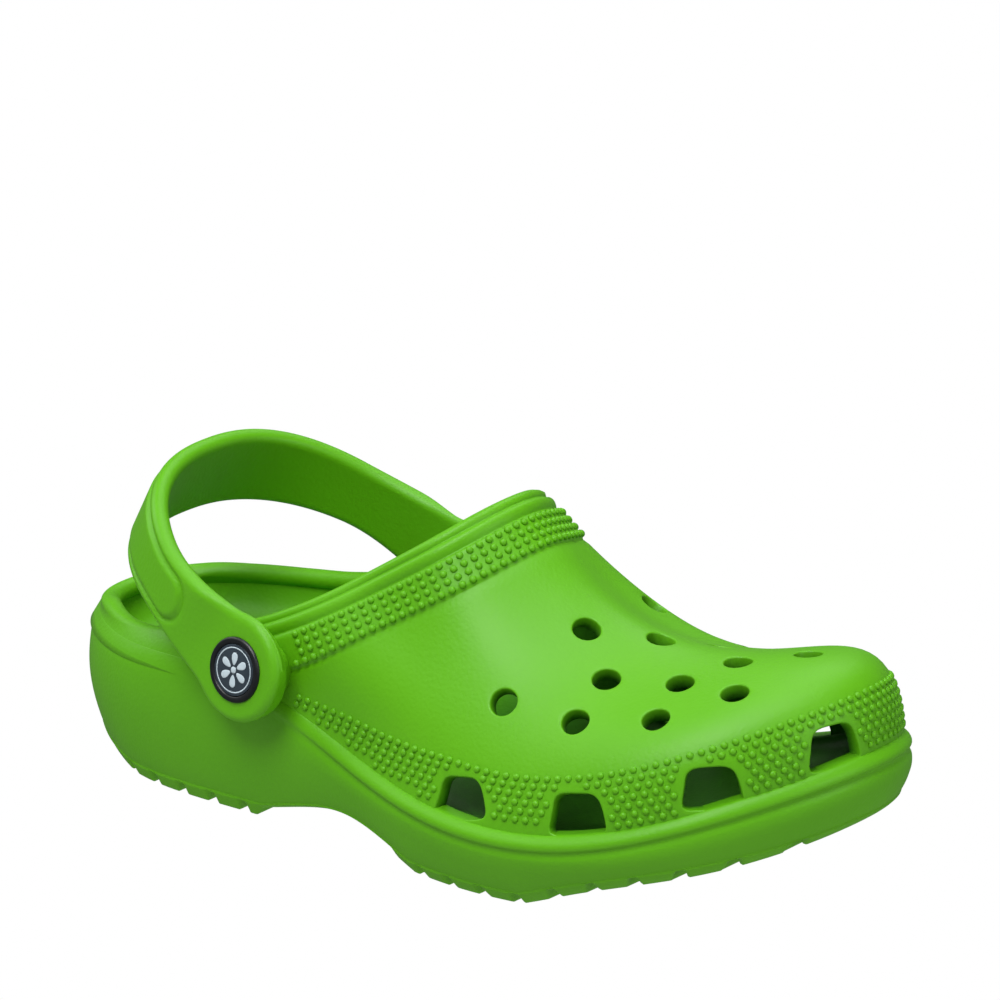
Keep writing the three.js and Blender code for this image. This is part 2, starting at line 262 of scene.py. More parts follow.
def hump(x: np.ndarray, middle: float, half: float) -> np.ndarray:
    """A round hump of height 1.

    Args:
        x: Where to take it.
        middle: Where the hump stands.
        half: Half its width.

    Returns:
        Values from 0 to 1.
    """
    t = np.clip((x - middle) / half, -1, 1)
    return (1 - t * t) ** 2


def unit(v: np.ndarray) -> np.ndarray:
    """Vectors of length 1.

    Args:
        v: Vectors along the last axis.

    Returns:
        The same directions.
    """
    return v / np.maximum(np.linalg.norm(v, axis=-1, keepdims=True), 1e-12)


@dataclass(frozen=True)
class Last:
    """The shape of the shoe, in millimetres.

    Each row has nine stations from the heel to the toe. A row for the inner side is there only where
    that side differs.
    """

    along: Row = (0, 9, 40, 83, 123, 163, 203, 241, 263)
    outer: Row = (0, 23, 42.5, 45.5, 49, 56.5, 52.5, 32.5, -11)
    inner: Row = (0, 24.5, 42, 45, 44, 47, 53, 50, 11)
    widest_height: Row = (22, 22, 23, 24, 20, 16, 16.5, 26, 34)
    tread_inset: Row = (7, 6.5, 6, 5.5, 6, 7, 8, 6.5, 8.5)
    lug_height: Row = (9, 5, -0.5, -1, 6.3, -3.5, 5.5, 15.5, 22)
    ledge_inset: Row = (2, 3, 3.5, 2, 2.5, 2.5, 2.5, 2.2, 2.5)
    ledge_height: Row = (40, 40, 41, 41, 30, 23, 24.5, 36, 44.5)
    bed_inset: Row = (12, 12, 11.5, 11, 10.5, 10, 10, 10, 11)
    bed_height: Row = (27.5, 27, 26.5, 25.5, 21.5, 18.5, 19.5, 28, 36)
    rim_along: Row = (6, 14.5, 42, 77, 102, 117.5, 134, 143, 145.5)
    rim_aside: Row = (0, 22.5, 34, 39.5, 38.5, 32, 26, 13.8, 0)
    rim_height: Row = (43.8, 44.8, 46.5, 56, 67.5, 77, 88, 95, 97.2)
    inner_rim_height: Row = (43.8, 43.7, 44.5, 51, 65.5, 77, 88, 95, 97.2)
    spring_in: Row = (1.2, 1.2, 1.2, 1, 3.5, 6, 4, 2, 3.5)
    inner_spring_in: Row = (1.2, 1.2, 1.2, 1, 3.5, 7.5, 6.5, 5.5, 3.5)
    spring_up: Row = (2, 2, 2, 4, 12, 21, 28.5, 43, 52)
    inner_spring_up: Row = (2, 2, 2, 4, 10, 14, 19, 54.5, 52)
    crown_along: Row = (0, 0, 0, 0, 8, 23, 39, 54, 58.5)
    inner_crown_along: Row = (0, 0, 0, 0, 8, 23, 39, 58.5, 58.5)
    crown_aside: Row = (0, 2, 2, 5.5, 7.5, 8, 8, 4, 0)
    crown_down: Row = (0.8, 0.8, 1, 6, 11, 24.5, 45.5, 64.5, 69.5)
    inner_crown_down: Row = (0.8, 0.8, 1, 6, 10, 20, 36.5, 76.5, 69.5)


@dataclass(frozen=True)
class Rivets:
    """Where and how big the strap's two snap rivets are, in millimetres, on the outer side."""

    x: float = 89.683
    z: float = 48.308
    pad_face: float = 48.29  # how far out the clog's bosses reach
    seat: float = 39.49  # the flat inside the wall that a socket lies on
    ear_inside: float = 48.59
    ear_thickness: float = 5.6
    lean_up: float = 9.0  # degrees that an ear's outer face looks up
    lean_back: float = 4.0
    ear_radius: float = 15.0
    pad_radius: float = 11.5
    tube_radius: float = 5.2
    cap_radius: float = 9.3
    cap_sunk: float = 1.7
    cap_thickness: float = 2.6
    badge_radius: float = 7.3

    @property
    def ear_face(self) -> float:
        """How far out an ear's outer face is on the axis."""
        return self.ear_inside + self.ear_thickness

    def facing(self, side: int) -> np.ndarray:
        """The way that a rivet's cap looks.

        Args:
            side: -1 for the outer side of the shoe, 1 for the inner side.

        Returns:
            A unit vector.
        """
        back, up = math.tan(math.radians(self.lean_back)), math.tan(math.radians(self.lean_up))
        return unit(np.array([-back, side, up]))


LAST = Last()
RIVETS = Rivets()
WALL = 4.5
RIM_WALL = 5.6
BAND_EDGE = 18.0  # how far the collar's raised band reaches from the rim
HOLE_RADIUS = 3.95
PORT_FOOT, PORT_TOP, PORT_HEIGHT = 8.9, 6.3, 11.7  # half the foot, half the top, and the height
HOLES: tuple[tuple[float, float], ...] = (
    (0.457, 0.781), (0.495, 0.697), (0.595, 0.747), (0.433, 0.639), (0.457, 0.534), (0.365, 0.576),
    (0.396, 0.488), (0.428, 0.407), (0.462, 0.385), (0.491, 0.515), (0.532, 0.621), (0.514, 0.395),
    (0.58, 0.517),
)  # fmt: skip
PORTS: Row = (0.3201, 0.3787, 0.4338, 0.4799, 0.555, 0.612, 0.668)


class Sole:
    """The outline of the sole and the curves that ride on it."""

    def __init__(self, last: Last) -> None:
        """Make the curves.

        Args:
            last: The shape of the shoe.
        """
        self.x = round_shoe(last.along)
        self.y = sideways(last.outer, last.inner)
        self.widest = round_shoe(last.widest_height)
        self.tread_in = round_shoe(last.tread_inset)
        self.lug = round_shoe(last.lug_height)
        self.ledge_in = round_shoe(last.ledge_inset)
        self.ledge_z = round_shoe(last.ledge_height)
        self.bed_in = round_shoe(last.bed_inset)
        self.bed_z = round_shoe(last.bed_height)

    def outward(self, s: np.ndarray) -> np.ndarray:
        """Level directions out of the sole.

        Args:
            s: Places round the sole.

        Returns:
            Unit vectors.
        """
        step = 1e-4
        dx, dy = self.x(s + step) - self.x(s - step), self.y(s + step) - self.y(s - step)
        return unit(np.stack([dy, -dx, np.zeros_like(dx)], -1))

    def inset(self, s: np.ndarray, distance: np.ndarray, z: np.ndarray) -> np.ndarray:
        """Points so far in from the widest line.

        Args:
            s: Places round the sole.
            distance: How far in.
            z: Heights.

        Returns:
            Points.
        """
        s, distance, z = np.broadcast_arrays(s, distance, z)
        at = np.stack([self.x(s), self.y(s), z], -1)
        return at - self.outward(s) * distance[..., None]

    def ledge(self, s: np.ndarray) -> np.ndarray:
        """The line that the upper springs from.

        Args:
            s: Places round the sole.

        Returns:
            Points.
        """
        return self.inset(s, self.ledge_in(s), self.ledge_z(s))

    def base(self, s: np.ndarray) -> np.ndarray:
        """Height of the lugs' feet, which are flat on the floor where they stand on it.

        Args:
            s: Places round the sole.

        Returns:
            Heights.
        """
        return np.maximum(self.lug(s), 0)


class Upper:
    """The upper's outer surface, by s round the shoe and d millimetres up from the ledge."""

    COLUMNS = 768
    STEPS = 256

    def __init__(self, last: Last, sole: Sole) -> None:
        """Make the curves, and the table of lengths up each column.

        Args:
            last: The shape of the shoe.
            sole: The sole it stands on.
        """
        self.sole = sole
        self.rim_x = round_shoe(last.rim_along)
        self.rim_y = sideways(last.rim_aside)
        self.rim_z = round_shoe(last.rim_height, last.inner_rim_height)
        self.spring_in = round_shoe(last.spring_in, last.inner_spring_in)
        self.spring_up = round_shoe(last.spring_up, last.inner_spring_up)
        self.crown_x = round_shoe(last.crown_along, last.inner_crown_along)
        self.crown_y = sideways(last.crown_aside)
        self.crown_down = round_shoe(last.crown_down, last.inner_crown_down)
        s = np.arange(self.COLUMNS + 1) / self.COLUMNS
        t = np.linspace(0, 1, self.STEPS + 1)
        points = self.bezier(s[:, None], t[None, :])
        run = np.linalg.norm(np.diff(points, axis=1), axis=-1)
        table = np.concatenate([np.zeros((len(s), 1)), np.cumsum(run, axis=1)], axis=1)
        self.total = table[:, -1]
        share = table / self.total[:, None] + np.arange(len(s))[:, None] * 2.0
        wanted = np.linspace(0, 1, self.STEPS + 1)[None, :] + np.arange(len(s))[:, None] * 2.0
        found = np.interp(wanted.ravel(), share.ravel(), np.tile(t, len(s)))
        self.inverse = found.reshape(wanted.shape)
        self.inverse[:, 0], self.inverse[:, -1] = 0, 1

    def controls(self, s: np.ndarray) -> tuple[np.ndarray, np.ndarray, np.ndarray, np.ndarray]:
        """The four control points of the curve up the upper.

        Args:
            s: Places round the shoe.

        Returns:
            Foot, spring, crown and top.
        """
        foot = self.sole.ledge(s)
        top = np.stack([self.rim_x(s), self.rim_y(s), self.rim_z(s)], -1)
        up = np.stack([0 * s, 0 * s, self.spring_up(s)], -1)
        spring = foot - self.sole.outward(s) * self.spring_in(s)[..., None] + up
        crown = top + np.stack([self.crown_x(s), self.crown_y(s), -self.crown_down(s)], -1)
        return foot, spring, crown, top

    def bezier(self, s: np.ndarray, t: np.ndarray) -> np.ndarray:
        """Points of the surface.

        Args:
            s: Places round the shoe.
            t: Places up the curve, from 0 to 1.

        Returns:
            Points.
        """
        s, t = np.broadcast_arrays(np.asarray(s, float), np.asarray(t, float))
        return bend(t[..., None], *self.controls(s))

    def climb(self, s: np.ndarray, t: np.ndarray) -> np.ndarray:
        """Unit tangents up the surface.

        Args:
            s: Places round the shoe.
            t: Places up the curve.

        Returns:
            Unit vectors.
        """
        a, b, c, d = self.controls(s)
        t = t[..., None]
        rise = (1 - t) ** 2 * (b - a) + 2 * (1 - t) * t * (c - b) + t**2 * (d - c)
        return unit(rise)

    def normal(self, s: np.ndarray, t: np.ndarray) -> np.ndarray:
        """Outward normals.

        Args:
            s: Places round the shoe.
            t: Places up the curve.

        Returns:
            Unit vectors.
        """
        step = 1e-3
        across = self.bezier(s + step, t) - self.bezier(s - step, t)
        return unit(np.cross(across, self.climb(s, t)))

    def length(self, s: np.ndarray) -> np.ndarray:
        """How long the way is from the ledge to the rim.

        Args:
            s: Places round the shoe.

        Returns:
            Lengths.
        """
        return np.interp(np.mod(s, 1.0) * self.COLUMNS, np.arange(self.COLUMNS + 1), self.total)

    def t_at(self, s: np.ndarray, d: np.ndarray) -> np.ndarray:
        """Place up the curve for a distance from the ledge.

        Args:
            s: Places round the shoe.
            d: Distances up from the ledge.

        Returns:
            Places from 0 to 1.
        """
        row = np.mod(s, 1.0) * self.COLUMNS
        col = np.clip(d / self.length(s), 0, 1) * self.STEPS
        i, j = np.minimum(row.astype(int), self.COLUMNS - 1), np.minimum(col.astype(int), self.STEPS - 1)
        a, b = row - i, col - j
        low = self.inverse[i, j] * (1 - b) + self.inverse[i, j + 1] * b
        high = self.inverse[i + 1, j] * (1 - b) + self.inverse[i + 1, j + 1] * b
        return low * (1 - a) + high * a

    def relief(self, s: np.ndarray, d: np.ndarray) -> np.ndarray:
        """How far the piping and the collar's band stand out of the plain surface.

        Args:
            s: Places round the shoe.
            d: Distances up from the ledge.

        Returns:
            Heights.
        """
        e = self.length(s) - d
        around = np.mod(s, 1.0)
        front = smooth(around, 0.165, 0.2) * smooth(around, 0.835, 0.8)
        piping = 0.55 * hump(e, 4.9, 2.1) - 0.75 * hump(e, 3.1, 0.9) - 0.45 * hump(e, 7.4, 0.75)
        band = 0.5 * smooth(e, BAND_EDGE, BAND_EDGE - 0.9) * smooth(e, 7.2, 8.0)
        groove = -0.35 * hump(e, BAND_EDGE + 0.5, 1.1)
        return front * (piping + band + groove)

    def shell(self, s: np.ndarray, d: np.ndarray, depth: np.ndarray) -> np.ndarray:
        """Points of the wall.

        Args:
            s: Places round the shoe.
            d: Distances up from the ledge; what is below it goes straight on down.
            depth: How far under the outer surface.

        Returns:
            Points.
        """
        s, d, depth = np.broadcast_arrays(s, d, depth)
        t = self.t_at(s, d)
        normal = self.normal(s, t)
        out = self.relief(s, d) * smooth(depth, 2.0, 0.0) - depth
        below = np.minimum(d, 0)[..., None]
        return self.bezier(s, t) + normal * out[..., None] + self.climb(s, t) * below

    def wall(self, s: np.ndarray, d: np.ndarray) -> np.ndarray:
        """How thick the wall is.

        Args:
            s: Places round the shoe.
            d: Distances up from the ledge.

        Returns:
            Thicknesses.
        """
        return WALL + (RIM_WALL - WALL) * smooth(self.length(s) - d, 14, 3)


# ---- Meshes --------------------------------------------------------------------------------------
class Skin:
    """Vertices and faces of one mesh, gathered block by block, in millimetres."""

    def __init__(self) -> None:
        """Start with nothing."""
        self.points: list[np.ndarray] = []
        self.shelter: list[np.ndarray] = []
        self.faces: list[np.ndarray] = []
        self.count = 0

    def add(self, points: np.ndarray, shelter: np.ndarray | float = 0.0) -> np.ndarray:
        """Add vertices.

        Args:
            points: Points along the last axis.
            shelter: How deep inside the closed front of the shoe they lie, from 0 to 1.

        Returns:
            Their numbers, in the same layout.
        """
        shape = points.shape[:-1]
        # painted shade: each vertex's share of the dark colour laid over the inside of the shoe's front, rising from x
        # = 100 to 130 mm
        deep = np.broadcast_to(shelter, shape) * smooth(points[..., 0], 100, 130)
        self.shelter.append(deep.ravel())
        ids = np.arange(self.count, self.count + int(np.prod(shape))).reshape(shape)
        self.points.append(points.reshape(-1, 3))
        self.count += ids.size
        return ids

    def sheet(self, ids: np.ndarray, keep: np.ndarray | None = None, flip: bool = False) -> None:
        """Quads between the rows and columns of a grid.

        Args:
            ids: Vertex numbers; repeat the first row or column at the end to close a ring.
            keep: Which cells to make; all if left out.
            flip: Turn the faces over.
        """
        quads = np.stack([ids[:-1, :-1], ids[1:, :-1], ids[1:, 1:], ids[:-1, 1:]], -1)
        quads = quads[keep] if keep is not None else quads.reshape(-1, 4)
        self.faces.append(quads[:, ::-1] if flip else quads)

    def rings(self, rings: Sequence[np.ndarray], flip: bool = False) -> None:
        """Quads between closed rings of the same length.

        Args:
            rings: Vertex numbers of each ring.
            flip: Turn the faces over.
        """
        closed = [np.append(ring, ring[0]) for ring in rings]
        self.sheet(np.stack(closed), flip=flip)

    def build(self, name: str, place: "Placing", weld: bool = True) -> bpy.types.Object:
        """Make the object.

        Args:
            name: The object's name.
            place: Turns millimetres of the shoe's frame into metres.
            weld: Join vertices that lie on each other.

        Returns:
            The object, linked to the scene.
        """
        mesh = bpy.data.meshes.new(name)
        used, faces = np.unique(np.concatenate(self.faces), return_inverse=True)
        faces = faces.reshape(-1, 4)
        points = place(np.concatenate(self.points)[used])
        mesh.vertices.add(len(points))
        mesh.vertices.foreach_set("co", points.ravel())
        mesh.loops.add(faces.size)
        mesh.loops.foreach_set("vertex_index", faces.ravel().astype(np.int32))
        mesh.polygons.add(len(faces))
        mesh.polygons.foreach_set("loop_start", np.arange(0, faces.size, 4, dtype=np.int32))
        mesh.update(calc_edges=True)
        # painted shade: the per-vertex mask that the foam finish darkens the base colour by
        deep = mesh.attributes.new("shelter", "FLOAT", "POINT")
        deep.data.foreach_set("value", np.concatenate(self.shelter)[used].astype(np.float32))
        if weld:
            work = bmesh.new()
            work.from_mesh(mesh)
            bmesh.ops.remove_doubles(work, verts=work.verts, dist=2e-7)
            work.to_mesh(mesh)
            work.free()
        mesh.validate()
        mesh.polygons.foreach_set("use_smooth", np.ones(len(mesh.polygons), bool))
        made = bpy.data.objects.new(name, mesh)
        bpy.context.scene.collection.objects.link(made)
        log.info("%s: %d vertices, %d faces", name, len(mesh.vertices), len(mesh.polygons))
        return made


@dataclass(frozen=True)
class Placing:
    """Puts the shoe's own frame in the part's frame."""

    shift: np.ndarray

    def __call__(self, points: np.ndarray) -> np.ndarray:
        """Move and scale points.

        Args:
            points: Points in millimetres.

        Returns:
            Points in metres, as 32-bit numbers.
        """
        return ((points + self.shift) * MM).astype(np.float32)
# painted shade: the dark green that stands in for the shadow deep inside the shoe's front

# share of the painted shade colour deep inside the shoe's front

@dataclass(frozen=True)
class Opening:
    """A hole in the upper: where it is, and how far its edge is in each direction."""

    s: float
    d: float
    reach: Along

    def local(self, upper: Upper) -> np.ndarray:
        """Millimetres along and up for a small change of s and of d.

        Args:
            upper: The surface the hole is in.

        Returns:
            The two by two table.
        """
        step = 2e-3
        s, d = np.array([self.s]), np.array([self.d])
        t = upper.t_at(s, d)
        normal, up = upper.normal(s, t)[0], upper.climb(s, t)[0]
        side = np.cross(up, normal)
        moves = [
            (upper.shell(s + step, d, 0) - upper.shell(s - step, d, 0))[0] / (2 * step),
            (upper.shell(s, d + 1, 0) - upper.shell(s, d - 1, 0))[0] / 2,
        ]
        return np.array([[m @ side for m in moves], [m @ up for m in moves]])


def round_hole(angle: np.ndarray) -> np.ndarray:
    """Edge of a round vent.

    Args:
        angle: Directions from its middle.

    Returns:
        Distances.
    """
    return np.full_like(angle, HOLE_RADIUS)


def side_port(angle: np.ndarray) -> np.ndarray:
    """Edge of a side vent: a trapezium with round corners, wider at the foot.

    Args:
        angle: Directions from its middle, where straight up is a quarter turn.

    Returns:
        Distances.
    """
    r = np.full_like(angle, 6.0)
    half = PORT_HEIGHT / 2
    for _ in range(40):
        u, v = r * np.cos(angle), r * np.sin(angle)
        wide = PORT_FOOT + (PORT_TOP - PORT_FOOT) * (v / half + 1) / 2
        corner = np.where(v > 0, 4.2, 6.0)
        size = (np.abs(u / wide) ** corner + np.abs(v / half) ** corner) ** (1 / corner)
        r = r * (1 + 0.7 * (1 / size - 1))
    return r


class UpperSheet:
    """The mesh of the upper: outside, rolled rim and inside, with every vent cut through."""

    COLUMNS = 448
    MIDDLE_ROWS = 54
    ROLL_ROWS = 7
    MARGIN = 0.7  # least width of the block that is cut round a vent
    BELOW = (-5.0, -2.5, -1.0)
    FROM_RIM = (
        18.9, 18.5, 18.1, 17.7, 17.3, 16.9, 15.4, 13.9, 12.4, 10.9, 9.4, 8.2, 7.8, 7.4, 7.0, 6.5, 6.0,
        5.4, 4.8, 4.3, 3.9, 3.5, 3.2, 3.0, 2.8,
    )  # fmt: skip

    def __init__(self, upper: Upper) -> None:
        """Lay out the grid.

        Args:
            upper: The surface to follow.
        """
        self.upper = upper
        self.s = np.arange(self.COLUMNS) / self.COLUMNS
        length = upper.length(self.s)
        first, last = self.FROM_RIM[0], self.FROM_RIM[-1]
        span = np.maximum(np.minimum(first, 0.56 * length), last + 0.3)
        share = (np.array(self.FROM_RIM) - last) / (first - last)
        top = length[:, None] - last - share[None, :] * (span - last)[:, None]
        spread = np.linspace(0, 1, self.MIDDLE_ROWS, endpoint=False)
        middle = top[:, :1] * spread[None, :]
        below = np.tile(self.BELOW, (self.COLUMNS, 1))
        self.d = np.concatenate([below, middle, top], axis=1)
        self.rows = self.d.shape[1]

    def openings(self) -> list[Opening]:
        """Every vent of the upper.

        Returns:
            The round vents and the side vents.
        """
        found = []
        for s, t in HOLES:
            column = int(round(s * self.upper.COLUMNS))
            share = np.interp(t, self.upper.inverse[column], np.linspace(0, 1, self.upper.STEPS + 1))
            found.append(Opening(s, float(share * self.upper.total[column]), round_hole))
        return found + [Opening(s, PORT_HEIGHT / 2 - 0.3, side_port) for s in PORTS]

    def roll(self) -> np.ndarray:
        """Points round the rim, from the outside to the inside.

        Returns:
            Points by column and row.
        """
        s = self.s[:, None]
        d = self.d[:, -1:]
        t = self.upper.t_at(s, d)
        normal, climb = self.upper.normal(s, t), self.upper.climb(s, t)
        half = self.upper.wall(s, d)[..., None] / 2
        middle = self.upper.bezier(s, t) - normal * half
        turn = np.linspace(0, np.pi, self.ROLL_ROWS + 2)[1:-1][None, :, None]
        return middle + half * (normal * np.cos(turn) + climb * np.sin(turn))

    def block(self, opening: Opening) -> tuple[np.ndarray, np.ndarray, tuple[int, int, int, int]]:
        """The ring of grid vertices round an opening.

        Args:
            opening: The vent.

        Returns:
            Column and row numbers of the ring, and the block's limits.
        """
        angle = np.linspace(0, 2 * np.pi, 97)
        back = np.linalg.inv(opening.local(self.upper))
        grow = opening.reach(angle) + self.MARGIN
        ds, dd = back @ np.stack([grow * np.cos(angle), grow * np.sin(angle)])
        s, d = opening.s + ds, opening.d + dd
        i0, i1 = math.floor(s.min() * self.COLUMNS), math.ceil(s.max() * self.COLUMNS)
        part = self.d[i0 : i1 + 1]
        j0 = int(np.nonzero((part < d.min()).all(axis=0))[0].max())
        j1 = int(np.nonzero((part > d.max()).all(axis=0))[0].min())
        i = np.concatenate(
            [np.arange(i0, i1), np.full(j1 - j0, i1), np.arange(i1, i0, -1), np.full(j1 - j0, i0)]
        )
        j = np.concatenate(
            [np.full(i1 - i0, j0), np.arange(j0, j1), np.full(i1 - i0, j1), np.arange(j1, j0, -1)]
        )
        return i, j, (i0, i1, j0, j1)

    def cut(self, skin: Skin, ids: np.ndarray, keep: np.ndarray, opening: Opening) -> None:
        """Take one vent out of the grid and line it.

        Args:
            skin: Where the new vertices and faces go.
            ids: Vertex numbers of the whole grid.
            keep: Which cells stay; the block's are taken out.
            opening: The vent.
        """
        i, j, (i0, i1, j0, j1) = self.block(opening)
        top = ids.shape[1] - 2  # the inside's lowest row
        keep[i0:i1, j0:j1] = False
        keep[i0:i1, top - j1 : top - j0] = False
        table = opening.local(self.upper)
        s_ring, d_ring = i / self.COLUMNS, self.d[i, j]
        u, v = table @ np.stack([s_ring - opening.s, d_ring - opening.d])
        angle = np.arctan2(v, u)
        radius = opening.reach(angle)
        back = np.linalg.inv(table)
        fillet = 0.5

        def ring(grow: float, depth: np.ndarray | float, share: float = 1.0) -> np.ndarray:
            """Vertices round the vent, part of the way in from the block's edge."""
            r = radius + grow
            ds, dd = back @ np.stack([r * np.cos(angle), r * np.sin(angle)])
            s = s_ring * (1 - share) + (opening.s + ds) * share
            d = d_ring * (1 - share) + (opening.d + dd) * share
            # painted shade on a vent's wall, darker the deeper into the wall
            return skin.add(self.upper.shell(s, d, depth), np.clip(np.asarray(depth) / WALL, 0, 1))

        wall = self.upper.wall(s_ring, d_ring)
        rings = [ids[i, j]]
        rings += [ring(fillet, 0.0, share) for share in (0.4, 0.75, 1.0)]
        for phi in (30, 60, 90):
            f = math.radians(phi)
            rings.append(ring(fillet * (1 - math.sin(f)), fillet * (1 - math.cos(f))))
        rings += [ring(0.0, 0.5 * wall), ring(0.0, wall - fillet)]
        rings += [ring(fillet * 0.5, wall - 0.2 * fillet), ring(fillet, wall), ring(fillet, wall, 0.6)]
        rings.append(ids[i, top - j])
        skin.rings(rings, flip=True)

    def build(self, place: Placing) -> bpy.types.Object:
        """Make the mesh.

        Args:
            place: Puts it in the frame.

        Returns:
            The object.
        """
        s = self.s[:, None]
        outside = self.upper.shell(s, self.d, 0)
        inside = self.upper.shell(s, self.d, self.upper.wall(s, self.d))
        whole = np.concatenate([outside, self.roll(), inside[:, ::-1]], axis=1)
        skin = Skin()
        # painted shade: the inside rows of the wall take the dark colour in the shoe's front
        inner = np.zeros(whole.shape[1])
        inner[-self.rows :] = 1.0
        ids = skin.add(whole, inner[None, :])
        ids = np.concatenate([ids, ids[:, :1]], axis=1)
        ids = np.concatenate([ids, ids[:1]], axis=0)
        keep = np.ones((ids.shape[0] - 1, ids.shape[1] - 1), bool)
        for opening in self.openings():
            self.cut(skin, ids, keep, opening)
        skin.sheet(ids, keep)
        return skin.build("foam_upper", place)


class SoleBlock:
    """The mesh of the sole: tread, side with its beads, ledge and footbed."""

    COLUMNS = 1080
    RUNGS = 24
    LUG_DEPTH = 3.2
    LUG_LAYER = 4.4  # height of the layer that the lugs are part of
    PITCH = 11.6
    ARCH = (86.5, 139.5)
    CUT = 0.94  # share of the lugs' depth that the grooves reach

    def __init__(self, sole: Sole) -> None:
        """Keep the outline.

        Args:
            sole: The sole's curves.
        """
        self.sole = sole
        self.s = np.arange(self.COLUMNS) / self.COLUMNS

    def groove(self, x: np.ndarray) -> np.ndarray:
        """How deep the tread is cut at a place along the shoe.

        Args:
            x: Distances from the heel.

        Returns:
            Shares of the full depth.
        """
        low, high = self.ARCH
        soft = 1.5
        off = np.abs(np.mod(x + self.PITCH / 2, self.PITCH) - self.PITCH / 2)
        notch = smooth(off, 2.1, 0.9) * smooth(x, 5, 8) * smooth(x, 262, 259)
        arch = smooth(x, low - soft, low + soft) * smooth(x, high + soft, high - soft)
        return self.CUT * np.maximum(notch, arch)

    def side(self) -> list[np.ndarray]:
        """Rings of points up the side, from the lugs' feet to the ledge.

        Returns:
            One array of points per ring.
        """
        sole, s = self.sole, self.s
        foot, top, widest = sole.base(s), sole.ledge_z(s), sole.widest(s)
        tread = sole.tread_in(s)
        height = np.stack([foot, foot + 0.35 * (widest - foot), widest, (widest + 2 * top) / 3, top])
        around = np.mod(s, 1.0)
        front = smooth(around, 0.19, 0.27) * smooth(around, 0.81, 0.73)
        shoulder = 0.4 + 0.25 * (1 - front)
        inset = np.stack([tread, 0.4 * tread, 0 * tread, shoulder, sole.ledge_in(s)])
        groove = self.groove(sole.x(s))
        low = (0.0, 0.12, 0.45, 0.9, 1.6, 2.4, 3.2, 3.9, 4.2, 4.6, 4.9, 5.6)
        high = (7.6, 6.9, 6.3, 5.7, 5.1, 4.6, 4.2, 3.9, 3.4, 2.7, 2.0, 1.3, 0.7, 0.35, 0.12, 0.0)
        heights = [foot + h for h in low]
        between = top - high[0] - foot - low[-1]
        heights += [foot + low[-1] + share * between for share in np.linspace(0, 1, 13)[1:-1]]
        heights += [top - h for h in high]
        rings = []
        for z in heights:
            up, down = z - foot, top - z
            away = self.through(height, inset, z)
            bead = 0.8 * np.sqrt(np.maximum(1 - ((down - 2.1) / 2.1) ** 2, 0)) - 0.15
            out = front * (bead - 0.35 * hump(down, 5.2, 1.5) + 0.15 * hump(down, 9, 4))
            out = out + 0.45 * smooth(up, self.LUG_LAYER + 0.15, self.LUG_LAYER - 0.3)
            foot_round = 0.6 * (1 - np.sqrt(np.clip(1 - (1 - np.minimum(up / 0.6, 1)) ** 2, 0, 1)))
            lifted = z + self.LUG_DEPTH * groove * np.clip(1 - up / self.LUG_LAYER, 0, 1)
            rings.append(sole.inset(s, away - out + foot_round, lifted))
        return rings

    @staticmethod
    def through(z: np.ndarray, value: np.ndarray, wanted: np.ndarray) -> np.ndarray:
        """Smooth curve through a column's five points, at one height in each column.

        Args:
            z: Heights of the points, by point and column.
            value: Their values.
            wanted: The height to take in each column.

        Returns:
            The value in each column.
        """
        slope = np.empty_like(value)
        slope[1:-1] = (value[2:] - value[:-2]) / (z[2:] - z[:-2])
        slope[0] = 2 * (value[1] - value[0]) / (z[1] - z[0]) - slope[1]
        slope[-1] = 2 * (value[-1] - value[-2]) / (z[-1] - z[-2]) - slope[-2]
        result = value[0].copy()
        for k in range(len(z) - 1):
            step = z[k + 1] - z[k]
            t = np.clip((wanted - z[k]) / step, 0, 1)
            piece = cubic(t, value[k], value[k + 1], step * slope[k], step * slope[k + 1])
            result = np.where(wanted >= z[k], piece, result)
        return result

    def lining(self) -> list[np.ndarray]:
        """Rings from the ledge inwards and down to the footbed.

        Returns:
            One array of points per ring.
        """
        sole, s = self.sole, self.s
        ledge_in, top = sole.ledge_in(s), sole.ledge_z(s)
        rings = [sole.inset(s, ledge_in + 1.2, top + 0.05), sole.inset(s, ledge_in + WALL - 0.4, top)]
        start = ledge_in + WALL + 0.1
        bed_in, bed = sole.bed_in(s) + 9, sole.bed_z(s)
        drop = top - bed
        for t in np.linspace(0, 1, 15):
            away = bend(t, start, start + 0.6, start + 3.5, bed_in)
            rings.append(sole.inset(s, away, bend(t, top - 0.1, top - 0.55 * drop, bed, bed)))
        return rings

    def ladder(self, skin: Skin, ring: np.ndarray, points: np.ndarray, sag: float, flip: bool) -> None:
        """Close a ring with rungs across the shoe.

        Args:
            skin: Where it goes.
            ring: The ring's vertex numbers.
            points: Its points.
            sag: How far the middle hangs below the ends.
            flip: Turn the faces over.
        """
        half = self.COLUMNS // 2
        near = np.arange(half + 1)
        far = (self.COLUMNS - near) % self.COLUMNS
        share = np.linspace(0, 1, self.RUNGS + 1)[None, :, None]
        inside = points[near][:, None] * (1 - share) + points[far][:, None] * share
        width = np.linalg.norm(points[near] - points[far], axis=-1)
        bow = 4 * share[..., 0] * (1 - share[..., 0]) * smooth(width, 0, 50)[:, None]
        inside[..., 2] -= sag * bow
        # painted shade on the footbed's rungs, none on the tread
        ids = skin.add(inside[:, 1:-1], 0.0 if flip else 1.0)
        ids = np.concatenate([ring[near][:, None], ids, ring[far][:, None]], axis=1)
        skin.sheet(ids, flip=flip)

    def build(self, place: Placing) -> bpy.types.Object:
        """Make the mesh.

        Args:
            place: Puts it in the frame.

        Returns:
            The object.
        """
        skin = Skin()
        side, lining = self.side(), self.lining()
        rings = [skin.add(ring) for ring in side]
